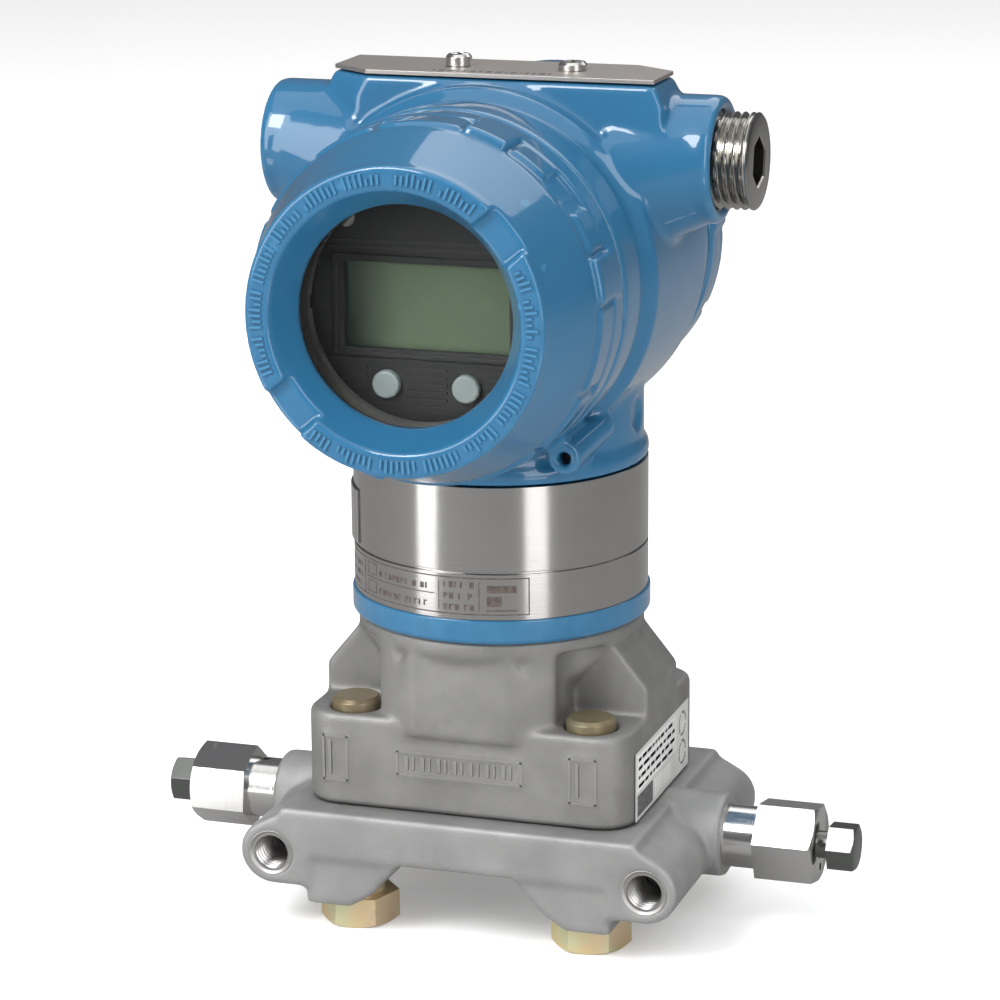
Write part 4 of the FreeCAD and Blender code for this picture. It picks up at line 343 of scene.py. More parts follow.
def write_stain(graph: Graph, source: bpy.types.Node) -> dict[str, Socket]:
    """Soft smudges with ragged borders; a higher cover gives more of them.

    Args:
        graph: the tree that the nodes go into.
        source: the group's input node.

    Returns:
        The mask of the smudges.
    """
    place = graph.place()
    broad = graph.noise(place, source.outputs["Scale"], 4.0, 0.65)
    edge = graph.math("SUBTRACT", 0.80, source.outputs["Cover"])
    mask = graph.node("MapRange", interpolation_type="SMOOTHSTEP")
    graph.feed(mask.inputs["Value"], broad)
    graph.feed(mask.inputs["From Min"], edge)
    graph.feed(mask.inputs["From Max"], graph.math("ADD", edge, 0.10))
    return {"Mask": mask.outputs["Result"]}


def write_edges(graph: Graph, source: bpy.types.Node) -> dict[str, Socket]:
    """Outer edges, for wear, and inner corners, for painted shade, broken up by noise.

    Args:
        graph: the tree that the nodes go into.
        source: the group's input node.

    Returns:
        Masks of the edges and the corners.
    """
    curve = graph.node("NewGeometry").outputs["Pointiness"]
    wear = graph.noise(graph.place(), source.outputs["Scale"], 3.0, 0.6)
    ragged = graph.math("ADD", curve, graph.span(wear, 0.3, 0.7, -0.012, 0.012))
    # the corner mask darkens inner corners: painted shade
    return {"Edge": graph.span(ragged, 0.515, 0.56), "Corner Shade": graph.span(ragged, 0.485, 0.43)}


def write_lines(graph: Graph, source: bpy.types.Node) -> dict[str, Socket]:
    """Fine tool lines across the direction of Along.

    Args:
        graph: the tree that the nodes go into.
        source: the group's input node.

    Returns:
        Height of the lines.
    """
    made = graph.node("TexNoise", noise_dimensions="1D")
    graph.feed(made.inputs["W"], source.outputs["Along"])
    graph.feed(made.inputs["Scale"], source.outputs["Scale"])
    made.inputs["Detail"].default_value = 4.0
    return {"Height": graph.span(made.outputs["Fac"], 0.25, 0.75)}


def write_peel(graph: Graph, source: bpy.types.Node) -> dict[str, Socket]:
    """Long soft waves of sprayed paint."""
    return {"Height": graph.noise(graph.place(), source.outputs["Scale"], 1.0, 0.4)}


@dataclass(frozen=True)
class Effects:
    """The node groups that several finishes share."""

    blast: bpy.types.NodeTree
    stain: bpy.types.NodeTree
    edges: bpy.types.NodeTree
    lines: bpy.types.NodeTree
    peel: bpy.types.NodeTree

    @staticmethod
    def make() -> "Effects":
        """Build every shared group once.

        Returns:
            The set of groups.
        """
        return Effects(
            blast=new_group("blasted_skin", {"Scale": 2500.0}, ["Height", "Tone"], write_blast),
            stain=new_group("soft_stain", {"Scale": 60.0, "Cover": 0.2}, ["Mask"], write_stain),
            edges=new_group("edge_wear_and_corner_shade", {"Scale": 300.0}, ["Edge", "Corner Shade"], write_edges),
            lines=new_group("tool_lines", {"Along": 0.0, "Scale": 4000.0}, ["Height"], write_lines),
            peel=new_group("orange_peel", {"Scale": 350.0}, ["Height"], write_peel),
        )


EFFECTS = Effects.make()


# ============================================================ finishes
@dataclass(frozen=True)
class Finish:
    """A surface finish: one material, made the first time that it is asked for."""

    name: str
    slot: str

    def material(self) -> bpy.types.Material:
        """Give the finish's material.

        Returns:
            The material, made if it is not there yet.
        """
        made = bpy.data.materials.get(self.name)
        if made is None:
            made = bpy.data.materials.new(self.name)
            made.use_nodes = True
            self.write(Graph(made.node_tree), made.node_tree.nodes["Principled BSDF"])
        return made

    def write(self, graph: Graph, shader: bpy.types.Node) -> None:
        """Write the nodes; each kind of finish has its own."""
        raise NotImplementedError


@dataclass(frozen=True)
class GlossPaint(Finish):
    """Baked gloss enamel on a casting: painted shade darkens its corners, and worn edges are a little paler.
    """

    colour: Colour = (0.020, 0.112, 0.220)
    # deep: the slow tone drift, and also the painted shade in the corners
    deep_tone_and_shade: Colour = (0.010, 0.072, 0.160)
    pale: Colour = (0.060, 0.215, 0.370)

    def write(self, graph: Graph, shader: bpy.types.Node) -> None:
        """Base colour with slow drift, painted shade in the corners and worn edges, under a clear coat.

        Args:
            graph: the tree that the nodes go into.
            shader: the material's main shader.
        """
        skin = graph.group(EFFECTS.blast, Scale=900.0)
        edges = graph.group(EFFECTS.edges, Scale=260.0)
        peel = graph.group(EFFECTS.peel, Scale=260.0)
        drift = graph.mix(graph.math("MULTIPLY", skin.outputs["Tone"], 0.25), self.colour, self.deep_tone_and_shade)
        # painted shade: inner corners are mixed towards the deep tone
        corner = graph.mix(graph.math("MULTIPLY", edges.outputs["Corner Shade"], 0.55), drift, self.deep_tone_and_shade)
        worn = graph.mix(graph.math("MULTIPLY", edges.outputs["Edge"], 0.35), corner, self.pale)
        graph.feed(shader.inputs["Base Color"], worn)
        graph.feed(shader.inputs["Roughness"], graph.span(skin.outputs["Tone"], 0, 1, 0.30, 0.38))
        graph.feed(shader.inputs["Normal"], graph.bump(peel.outputs["Height"], 0.012))
        shader.inputs["Specular IOR Level"].default_value = 0.15
        shader.inputs["Coat Weight"].default_value = 0.9
        shader.inputs["Coat Roughness"].default_value = 0.06
        shader.inputs["Coat IOR"].default_value = 1.52


@dataclass(frozen=True)
class CastMetal(Finish):
    """Blasted casting with stains, corners darkened by painted shade, and worn edges."""

    colour: Colour = (0.40, 0.395, 0.375)
    # stain: colour of the real stains, also used for the painted shade in the corners
    stain: Colour = (0.22, 0.21, 0.19)
    stain_cover: float = 0.18
    roughness: float = 0.56
    edge_share: float = 0.5
    # painted shade: a dark band along the foot of joint_node stands in for the shadow in the gap under it
    joint_node: str = ""
    gap_shade_height: float = 1.5
    joint_shade: Colour = (0.012, 0.011, 0.010)

    def joint(self, graph: Graph, base: Socket) -> Socket:
        """Paint shade into the narrow gap under the casting's foot, as a dark band along its lowest edge.

        Args:
            graph: the tree that the nodes go into.
            base: colour of the casting.

        Returns:
            The colour with the painted gap shade in it.
        """
        foot = lowest(self.joint_node, Axis.Z)
        gap = graph.span(graph.along(Axis.Z), foot * MM, (foot + self.gap_shade_height) * MM, 1.0, 0.0)
        return graph.mix(gap, base, self.joint_shade)

    def write(self, graph: Graph, shader: bpy.types.Node) -> None:
        """Grey metal with grain, tone, stains, painted shade in its corners, and paler edges.

        Args:
            graph: the tree that the nodes go into.
            shader: the material's main shader.
        """
        skin = graph.group(EFFECTS.blast, Scale=2600.0)
        edges = graph.group(EFFECTS.edges, Scale=240.0)
        marks = graph.group(EFFECTS.stain, Scale=95.0, Cover=self.stain_cover)
        light = tuple(min(1.0, value * 1.12) for value in self.colour)
        dark = tuple(value * 0.86 for value in self.colour)
        base = graph.mix(skin.outputs["Tone"], dark, light)
        base = graph.mix(graph.math("MULTIPLY", marks.outputs["Mask"], 0.45), base, self.stain)
        # painted shade: inner corners are mixed towards the stain colour
        base = graph.mix(graph.math("MULTIPLY", edges.outputs["Corner Shade"], 0.55), base, self.stain)
        bright = tuple(min(1.0, value * 1.45) for value in self.colour)
        base = graph.mix(graph.math("MULTIPLY", edges.outputs["Edge"], self.edge_share), base, bright)
        # painted shade of the gap under the foot
        if self.joint_node:
            base = self.joint(graph, base)
        graph.feed(shader.inputs["Base Color"], base)
        low = self.roughness - 0.05
        graph.feed(shader.inputs["Roughness"], graph.span(skin.outputs["Tone"], 0, 1, self.roughness, low))
        graph.feed(shader.inputs["Normal"], graph.bump(skin.outputs["Height"], 0.030))
        shader.inputs["Metallic"].default_value = 0.65


@dataclass(frozen=True)
class TurnedMetal(Finish):
    """Machined or plated metal with tool lines along one axis."""

    colour: Colour = (0.78, 0.77, 0.75)
    tint: Colour = (0.70, 0.69, 0.67)
    roughness: float = 0.22
    lines_along: Axis = Axis.X
    line_scale: float = 5000.0
    line_depth: float = 0.006
    smudge: float = 0.20

    def write(self, graph: Graph, shader: bpy.types.Node) -> None:
        """Bright metal with fine lines and faint smudges.

        Args:
            graph: the tree that the nodes go into.
            shader: the material's main shader.
        """
        along = graph.along(self.lines_along)
        lines = graph.group(EFFECTS.lines, Along=along, Scale=self.line_scale)
        marks = graph.group(EFFECTS.stain, Scale=160.0, Cover=self.smudge)
        tone = graph.mix(lines.outputs["Height"], self.colour, self.tint)
        dull = tuple(value * 0.8 for value in self.tint)
        tone = graph.mix(graph.math("MULTIPLY", marks.outputs["Mask"], 0.4), tone, dull)
        graph.feed(shader.inputs["Base Color"], tone)
        rough = graph.span(marks.outputs["Mask"], 0, 1, self.roughness, self.roughness + 0.12)
        graph.feed(shader.inputs["Roughness"], rough)
        graph.feed(shader.inputs["Normal"], graph.bump(lines.outputs["Height"], self.line_depth))
        shader.inputs["Metallic"].default_value = 1.0


@dataclass(frozen=True)
class SatinCan(Finish):
    """Fine-turned steel whose reflections stretch up and down."""

    colour: Colour = (0.50, 0.49, 0.478)
    tint: Colour = (0.43, 0.42, 0.41)

    def write(self, graph: Graph, shader: bpy.types.Node) -> None:
        """Satin steel with level tool lines.

        Args:
            graph: the tree that the nodes go into.
            shader: the material's main shader.
        """
        lines = graph.noise(graph.stretched((3.0, 3.0, 3500.0)), 1.0, 4.0, 0.6)
        clouds = graph.noise(graph.place(), 70.0, 3.0, 0.6)
        tone = graph.mix(graph.span(lines, 0.3, 0.7), self.colour, self.tint)
        tone = graph.mix(graph.span(clouds, 0.45, 0.75, 0.0, 0.35), tone, self.tint)
        graph.feed(shader.inputs["Base Color"], tone)
        graph.feed(shader.inputs["Roughness"], graph.span(clouds, 0.3, 0.7, 0.18, 0.22))
        graph.feed(shader.inputs["Normal"], graph.bump(graph.span(lines, 0.3, 0.7), 0.004))
        tangent = graph.node("Tangent", direction_type="RADIAL", axis="Z")
        graph.feed(shader.inputs["Tangent"], tangent.outputs["Tangent"])
        shader.inputs["Metallic"].default_value = 1.0
        shader.inputs["Anisotropic"].default_value = 0.75
        shader.inputs["Anisotropic Rotation"].default_value = 0.25


@dataclass(frozen=True)
class ZincPlate(Finish):
    """Yellow chromate zinc, with the faint pink and green drift of the film."""

    gold: Colour = (0.82, 0.67, 0.36)
    rose: Colour = (0.78, 0.59, 0.41)
    green: Colour = (0.70, 0.69, 0.43)
    # worn: dark brown that the bolts turn towards above the flange's ears
    worn: Colour = (0.12, 0.098, 0.060)
    dark_reach: float = 10.0

    def write(self, graph: Graph, shader: bpy.types.Node) -> None:
        """Plated steel whose film drifts in colour and turns dark brown towards the upper end.

        Args:
            graph: the tree that the nodes go into.
            shader: the material's main shader.
        """
        drift = graph.noise(graph.place(), 95.0, 3.0, 0.6)
        slow = graph.noise(graph.place(), 38.0, 2.0, 0.5)
        tone = graph.mix(graph.span(slow, 0.40, 0.62), self.gold, self.rose)
        tone = graph.mix(graph.span(drift, 0.46, 0.66), tone, self.green)
        height = graph.along(Axis.Z)
        ear = highest("coplanar_flange", Axis.Z)
        darkened_tip = graph.span(height, ear * MM, (ear + self.dark_reach) * MM, 0.0, 0.85)
        tone = graph.mix(darkened_tip, tone, self.worn)
        graph.feed(shader.inputs["Base Color"], tone)
        graph.feed(shader.inputs["Roughness"], graph.span(drift, 0.3, 0.7, 0.27, 0.40))
        fine = graph.noise(graph.place(), 1800.0, 2.0, 0.5)
        graph.feed(shader.inputs["Normal"], graph.bump(fine, 0.010))
        shader.inputs["Metallic"].default_value = 0.55


@dataclass(frozen=True)
class Moulded(Finish):
    """Moulded plastic or rubber with a fine spark grain."""

    colour: Colour = (0.02, 0.02, 0.02)
    roughness: float = 0.45
    grain: float = 0.010

    def write(self, graph: Graph, shader: bpy.types.Node) -> None:
        """One colour with a slight drift, and grain.

        Args:
            graph: the tree that the nodes go into.
            shader: the material's main shader.
        """
        skin = graph.group(EFFECTS.blast, Scale=3200.0)
        dark = tuple(value * 0.85 for value in self.colour)
        graph.feed(shader.inputs["Base Color"], graph.mix(skin.outputs["Tone"], self.colour, dark))
        high = min(1.0, self.roughness + 0.08)
        graph.feed(shader.inputs["Roughness"], graph.span(skin.outputs["Height"], 0, 1, self.roughness, high))
        graph.feed(shader.inputs["Normal"], graph.bump(skin.outputs["Height"], self.grain))


@dataclass(frozen=True)
class ClearGlass(Finish):
    """Polished window glass; light passes it without caustics."""

    def write(self, graph: Graph, shader: bpy.types.Node) -> None:
        """Glass for the eye, plain clear sheet for shadows.

        Args:
            graph: the tree that the nodes go into.
            shader: the material's main shader.
        """
        haze = graph.noise(graph.place(), 60.0, 3.0, 0.5)
        graph.feed(shader.inputs["Base Color"], graph.mix(haze, (0.97, 0.99, 0.98), (1.0, 1.0, 1.0)))
        graph.feed(shader.inputs["Roughness"], graph.span(haze, 0.4, 0.8, 0.0, 0.02))
        shader.inputs["Transmission Weight"].default_value = 1.0
        shader.inputs["IOR"].default_value = 1.08
        clear = graph.node("BsdfTransparent")
        path = graph.node("LightPath")
        blend = graph.node("MixShader")
        passing = graph.math("MAXIMUM", path.outputs["Is Shadow Ray"], path.outputs["Is Diffuse Ray"])
        graph.feed(blend.inputs[0], passing)
        graph.feed(blend.inputs[1], shader.outputs[0])
        graph.feed(blend.inputs[2], clear.outputs[0])
        output = next(node for node in graph.tree.nodes if node.type == "OUTPUT_MATERIAL")
        graph.feed(output.inputs["Surface"], blend.outputs[0])


@dataclass(frozen=True)
class LiquidCrystal(Finish):
    """Unlit display glass: green-grey, with painted shade darkening its left end."""

    bright: Colour = (0.084, 0.122, 0.070)
    # dim: colour of the painted shade at the left end, and of the faint mottling
    shade_and_mottle: Colour = (0.016, 0.026, 0.020)
    fade: float = 14.0

    def write(self, graph: Graph, shader: bpy.types.Node) -> None:
        """Green film darkened by painted shade towards one end.

        Args:
            graph: the tree that the nodes go into.
            shader: the material's main shader.
        """
        reach = graph.along(Axis.X)
        end = lowest("lcd_panel", Axis.X)
        # painted shade: the film darkens from bright to dim over fade millimetres from the left end
        shadow_ramp = graph.node("MapRange", interpolation_type="SMOOTHSTEP")
        graph.feed(shadow_ramp.inputs["Value"], reach)
        shadow_ramp.inputs["From Min"].default_value = end * MM
        shadow_ramp.inputs["From Max"].default_value = (end + self.fade) * MM
        film = graph.mix(shadow_ramp.outputs["Result"], self.shade_and_mottle, self.bright)
        cloud = graph.noise(graph.place(), 120.0, 2.0, 0.5)
        film = graph.mix(graph.span(cloud, 0.3, 0.7, 0, 0.12), film, self.shade_and_mottle)
        graph.feed(shader.inputs["Base Color"], film)
        graph.feed(shader.inputs["Roughness"], graph.span(cloud, 0.3, 0.7, 0.20, 0.26))


@dataclass(frozen=True)
class Etched(Finish):
    """Brown-grey etch or dark print, a little uneven."""

    colour: Colour = (0.070, 0.052, 0.046)
    worn: Colour = (0.130, 0.108, 0.098)
    roughness: float = 0.55
    metallic: float = 0.2

    def write(self, graph: Graph, shader: bpy.types.Node) -> None:
        """Dark mark that thins out in places.

        Args:
            graph: the tree that the nodes go into.
            shader: the material's main shader.
        """
        thin = graph.noise(graph.place(), 900.0, 3.0, 0.7)
        tone = graph.mix(graph.span(thin, 0.42, 0.68), self.colour, self.worn)
        graph.feed(shader.inputs["Base Color"], tone)
        rough = graph.span(thin, 0.3, 0.7, self.roughness, self.roughness + 0.1)
        graph.feed(shader.inputs["Roughness"], rough)
        shader.inputs["Metallic"].default_value = self.metallic


BLUE = GlossPaint("blue_enamel", "blue_paint")
FLANGE_CAST = CastMetal("blasted_flange", "cast_flange", colour=(0.315, 0.315, 0.312), stain_cover=0.12,
                        roughness=0.62, edge_share=0.2)
MODULE_CAST = CastMetal("blasted_module", "cast_module", colour=(0.250, 0.248, 0.240), stain_cover=0.22,
                        roughness=0.60, edge_share=0.25, joint_node="module_base")
ZINC = ZincPlate("yellow_zinc", "zinc_bolt")
SEAT_STEEL = TurnedMetal("turned_seat_steel", "valve_steel", roughness=0.16)
VENT_STEEL = TurnedMetal("drawn_vent_steel", "vent_steel", colour=(0.22, 0.225, 0.215),
                         tint=(0.18, 0.19, 0.18), roughness=0.30)
CAN_STEEL = SatinCan("satin_can_steel", "brushed_can")
PLATE_STEEL = TurnedMetal("brushed_plate", "plate_steel", colour=(0.56, 0.52, 0.49),
                          tint=(0.49, 0.46, 0.43), roughness=0.42, lines_along=Axis.Y, line_scale=6000.0)
PLUG_STEEL = TurnedMetal("bright_plug_steel", "bright_steel", colour=(0.44, 0.43, 0.40),
                         tint=(0.34, 0.33, 0.31), roughness=0.20)
SCREW_STEEL = TurnedMetal("turned_screw_steel", "screw_steel", colour=(0.66, 0.65, 0.62), roughness=0.24,
                          lines_along=Axis.Z)
LIP_STEEL = TurnedMetal("cut_lip_steel", "cast_flange", colour=(0.36, 0.355, 0.35), roughness=0.55,
                        lines_along=Axis.Y)
BORE_STEEL = TurnedMetal("cut_thread_steel", "cast_flange", colour=(0.62, 0.61, 0.60),
                         tint=(0.48, 0.47, 0.46), roughness=0.30, lines_along=Axis.Y)
THREAD_ALLOY = TurnedMetal("cut_thread_alloy", "blue_paint", colour=(0.62, 0.62, 0.61), roughness=0.30,
                           lines_along=Axis.Y)
RUBBER = Moulded("moulded_rubber", "seal_rubber", colour=(0.018, 0.018, 0.018), roughness=0.55)
METER_BLACK = Moulded("meter_plastic", "meter_black", colour=(0.010, 0.010, 0.010), roughness=0.55)
BEZEL_BLACK = Moulded("bezel_plastic", "meter_black", colour=(0.016, 0.015, 0.015), roughness=0.42)
TERMINAL_BLACK = Moulded("terminal_plastic", "terminal_black", colour=(0.030, 0.030, 0.032), roughness=0.40)
BUTTON_GREY = Moulded("key_plastic", "button_grey", colour=(0.225, 0.265, 0.26), roughness=0.50)
ADJUST_WHITE = Moulded("adjust_plastic", "adjust_white", colour=(0.62, 0.62, 0.60), roughness=0.45)
BOARD_GREEN = Moulded("board_lacquer", "board_green", colour=(0.020, 0.090, 0.035), roughness=0.38)
LABEL_SILVER = Moulded("label_silver", "label_print", colour=(0.52, 0.52, 0.51), roughness=0.38, grain=0.004)
LABEL_PALE = Moulded("label_pale", "label_print", colour=(0.68, 0.68, 0.67), roughness=0.42, grain=0.004)
GLASS = ClearGlass("clear_window", "window_glass")
LCD = LiquidCrystal("lcd_film", "lcd_green")
CAN_ETCH = Etched("can_etch", "brushed_can")
LABEL_INK = Etched("label_ink", "label_print", colour=(0.060, 0.060, 0.060), worn=(0.16, 0.16, 0.16),
                   metallic=0.0)


# ============================================================ making meshes
@contextmanager
def worked(mesh: bpy.types.Mesh) -> Iterator[bmesh.types.BMesh]:
    """Open a mesh for editing, and write it back at the end.

    Args:
        mesh: the mesh.

    Returns:
        The open mesh, once.
    """
    work = bmesh.new()
    work.from_mesh(mesh)
    yield work
    work.to_mesh(mesh)
    work.free()


def smooth_by_angle(mesh: bpy.types.Mesh, limit_deg: float) -> None:
    """Shade a mesh smooth and mark its sharp edges.

    Args:
        mesh: the mesh.
        limit_deg: edges sharper than this stay sharp.
    """
    with worked(mesh) as work:
        for face in work.faces:
            face.smooth = True
        for edge in work.edges:
            if len(edge.link_faces) == 2:
                edge.smooth = edge.calc_face_angle(0.0) < math.radians(limit_deg)

def add_piece(name: str, mesh: bpy.types.Mesh, finish: Finish, body: str) -> bpy.types.Object:
    """Link a finished mesh as a piece of the object.

    Args:
        name: name of the piece.
        mesh: its mesh, in the frame, in metres.
        finish: its finish.
        body: the body that it rides on.

    Returns:
        The new object.
    """
    mesh.materials.clear()
    mesh.materials.append(finish.material())
    made = bpy.data.objects.new(name, mesh)
    bpy.context.scene.collection.objects.link(made)
    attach(made, body)
    log.info("%s: %d faces on %s", name, len(mesh.polygons), body)
    return made


def mesh_from(name: str, points: list[Vector], faces: list[tuple[int, ...]],
              limit_deg: float = 35.0) -> bpy.types.Mesh:
    """Make a mesh from points in millimetres.

    Args:
        name: name of the mesh.
        points: its points, in millimetres.
        faces: its faces, by index of point.
        limit_deg: edges sharper than this stay sharp.

    Returns:
        The new mesh.
    """
    mesh = bpy.data.meshes.new(name)
    mesh.from_pydata([Vector(point) * MM for point in points], [], faces)
    mesh.validate()
    smooth_by_angle(mesh, limit_deg)
    return mesh


class Builder:
    """Collects faces of one piece, in millimetres."""

    def __init__(self) -> None:
        """Start with nothing."""
        self.points: list[Vector] = []
        self.faces: list[tuple[int, ...]] = []

    def add(self, points: list[Vector], faces: list[tuple[int, ...]]) -> None:
        """Append points and the faces between them.

        Args:
            points: the new points.
            faces: faces between them, by index of new point.
        """
        base = len(self.points)
        self.points += points
        self.faces += [tuple(base + index for index in face) for face in faces]

    def slab(self, corners: list[Vector], thickness: Vector, bevel: float = 0.0) -> None:
        """Flat prism over a ring of corners, its top drawn in by a bevel.

        Args:
            corners: ring of corners, in order.
            thickness: way from the foot to the top.
            bevel: how far the top is drawn in.
        """
        count = len(corners)
        centre = sum(corners, Vector()) / count
        top = []
        for corner in corners:
            inward = centre - corner
            inward.normalize()
            top.append(corner + thickness + inward * bevel)
        rim = [corner + thickness * 0.55 for corner in corners]
        faces = [tuple(reversed(range(count)))]
        for step in (0, count):
            for index in range(count):
                after = (index + 1) % count
                faces.append((step + index, step + after, step + count + after, step + count + index))
        faces.append(tuple(range(2 * count, 3 * count)))
        self.add(corners + rim + top, faces)

    def wrapped(self, radius: float, rise: float, angles: tuple[float, float], heights: tuple[float, float],
                step_deg: float = 2.0) -> None:
        """Thin patch round an upright axis at the origin; angles run from -Y towards +X.

        Args:
            radius: radius that the patch lies on.
            rise: its thickness.
            angles: first and last angle, in degrees.
            heights: lower and upper edge.
            step_deg: largest angle between two rows of points.
        """
        first, last = angles
        count = max(1, int(math.ceil((last - first) / step_deg)))
        points = []
        for index in range(count + 1):
            angle = math.radians(first + (last - first) * index / count)
            for reach, z in ((radius - 0.05, heights[0]), (radius + rise, heights[0]),
                             (radius + rise, heights[1]), (radius - 0.05, heights[1])):
                points.append(Vector((reach * math.sin(angle), -reach * math.cos(angle), z)))
        faces = [(0, 1, 2, 3), tuple(4 * count + index for index in (3, 2, 1, 0))]
        for index in range(count):
            low = 4 * index
            for side in range(4):
                after = (side + 1) % 4
                faces.append((low + side, low + 4 + side, low + 4 + after, low + after))
        self.add(points, faces)

    def bar(self, first: tuple[float, float], second: tuple[float, float], face: float, axis: Axis,
            rise: float, bevel: float) -> None:
        """Flat bar on a face across an axis.

        Args:
            first: its two ends along the first of the other axes.
            second: its two ends along the second of them.
            face: where the face lies along the axis.
            axis: the axis that the face lies across.
            rise: its thickness along the axis, with a sign.
            bevel: how far its top is drawn in.
        """
        others = [index for index in range(3) if index != axis.value]
        corners = []
        for near, far in ((0, 0), (1, 0), (1, 1), (0, 1)):
            corner = Vector((face, face, face))
            corner[others[0]], corner[others[1]] = first[near], second[far]
            corners.append(corner)
        thickness = Vector((0, 0, 0))
        thickness[axis.value] = rise
        self.slab(corners, thickness, bevel)

    def piece(self, name: str, finish: Finish, body: str) -> bpy.types.Object:
        """Turn what was collected into a piece."""
        return add_piece(name, mesh_from(name, self.points, self.faces), finish, body)


class Spindle:
    """A point, with unit vectors along an axis and across it."""

    def __init__(self, origin: Point, axis: Axis, sign: float = 1.0) -> None:
        """Set the spindle up at a point; the sign is the way along the axis.

        Args:
            origin: the point.
            axis: one of the three directions.
            sign: 1 or -1, the way along the axis.
        """
        self.origin = Vector(origin)
        self.along = Vector((0, 0, 0))
        self.along[axis.value] = sign
        self.first = Vector((0, 0, 1)) if axis is not Axis.Z else Vector((1, 0, 0))
        self.second = self.along.cross(self.first)

    def point(self, turn: float, radius: float, reach: float) -> Vector:
        """Point at a share of a turn, a radius and a distance along the axis.

        Args:
            turn: share of a turn.
            radius: distance from the axis.
            reach: distance along the axis.

        Returns:
            The point.
        """
        angle = 2 * math.pi * turn
        way = self.first * math.cos(angle) + self.second * math.sin(angle)
        return self.origin + way * radius + self.along * reach

    def ring(self, steps: int, radius: Callable[[float], float], reach: float) -> list[Vector]:
        """Ring of points whose radius depends on the share of a turn.

        Args:
            steps: number of points.
            radius: gives the radius at a share of a turn.
            reach: distance along the axis.

        Returns:
            The points, in order.
        """
        return [self.point(step / steps, radius(step / steps), reach) for step in range(steps)]


def stitched(low: int, high: int, steps: int) -> list[tuple[int, ...]]:
    """Faces between two rings, given the index of each ring's first point.

    Args:
        low: index of one ring's first point.
        high: index of the other ring's first point.
        steps: number of points in each ring.

    Returns:
        One face for each step.
    """
    pairs = [(step, (step + 1) % steps) for step in range(steps)]
    return [(low + step, low + after, high + after, high + step) for step, after in pairs]


def lathe(name: str, profile: list[tuple[float, float]], spindle: Spindle, steps: int = 96) -> bpy.types.Mesh:
    """Turn a closed profile round a spindle.

    Args:
        name: name of the mesh.
        profile: (radius, distance along the spindle) points.
        spindle: what it turns round.
        steps: number of divisions round it.

    Returns:
        The turned mesh.
    """
    points = []
    for step in range(steps):
        points += [spindle.point(step / steps, radius, reach) for radius, reach in profile]
    count = len(profile)
    faces = []
    for step in range(steps):
        here, there = step * count, (step + 1) % steps * count
        faces += [(here + index, there + index, there + after, here + after)
                  for index, after in zip(range(count), [*range(1, count), 0])]
    mesh = mesh_from(name, points, faces, 30.0)
    with worked(mesh) as work:
        bmesh.ops.remove_doubles(work, verts=work.verts, dist=0.001 * MM)
        bmesh.ops.recalc_face_normals(work, faces=work.faces)
    return mesh

@dataclass(frozen=True)
class Thread:
    """Helical thread between a crest and a root radius, faded out at both ends."""

    crest: float
    root: float
    pitch: float
    start: float
    end: float
    flat: float = 0.18
    fade: float = 1.0
    steps: int = 96
    rows_per_pitch: int = 14

    def radius(self, turn: float, reach: float) -> float:
        """Radius at a share of a turn and a distance along the axis.

        Args:
            turn: share of a turn.
            reach: distance along the axis.

        Returns:
            The radius there.
        """
        phase = (reach / self.pitch - turn) % 1.0
        ridge = 1.0 - abs(2 * phase - 1)
        wave = min(1.0, max(0.0, (ridge - self.flat / 2) / (1 - self.flat)))
        fade = min(1.0, (reach - self.start) / self.fade, (self.end - reach) / self.fade)
        return self.crest + (self.root - self.crest) * wave * max(0.0, fade)

    def rows(self) -> int:
        """Number of rows of points along the thread."""
        return int((self.end - self.start) / self.pitch * self.rows_per_pitch)

    def grid(self, spindle: Spindle) -> tuple[list[Vector], list[tuple[int, ...]]]:
        """Points and faces of the threaded surface, row by row from start to end.

        Args:
            spindle: where it stands and which way it points.

        Returns:
            The points, and the faces by index of point.
        """
        rows = self.rows()
        points, faces = [], []
        for row in range(rows + 1):
            reach = self.start + (self.end - self.start) * row / rows
            points += spindle.ring(self.steps, lambda turn: self.radius(turn, reach), reach)
        for row in range(rows):
            faces += stitched(row * self.steps, (row + 1) * self.steps, self.steps)
        return points, faces


def thread_liner(name: str, thread: Thread, spindle: Spindle, backing: float, finish: Finish,
                 body: str) -> bpy.types.Object:
    """Thin sleeve with a thread on one face and a plain face at the backing radius.

    Args:
        name: name of the piece.
        thread: shape of the thread.
        spindle: where it stands and which way it points.
        backing: radius of the plain face.
        finish: its finish.
        body: the body that it rides on.

    Returns:
        The new piece.
    """
    points, faces = thread.grid(spindle)
    steps = thread.steps
    top = thread.rows() * steps
    plain_start, plain_end = len(points), len(points) + steps
    for reach in (thread.start, thread.end):
        points += spindle.ring(steps, lambda turn: backing, reach)
    for low, high in ((plain_start, 0), (top, plain_end), (plain_end, plain_start)):
        faces += stitched(low, high, steps)
    mesh = mesh_from(name, points, faces, 50.0)
    with worked(mesh) as work:
        bmesh.ops.recalc_face_normals(work, faces=work.faces)
    return add_piece(name, mesh, finish, body)


# ============================================================ pieces made from CAD nodes
def bake_modifiers(made: bpy.types.Object) -> None:
    """Turn a piece's modifiers into its mesh.

    Args:
        made: the piece.
    """
    depsgraph = bpy.context.evaluated_depsgraph_get()
    baked = bpy.data.meshes.new_from_object(made.evaluated_get(depsgraph))
    made.modifiers.clear()
    made.data = baked


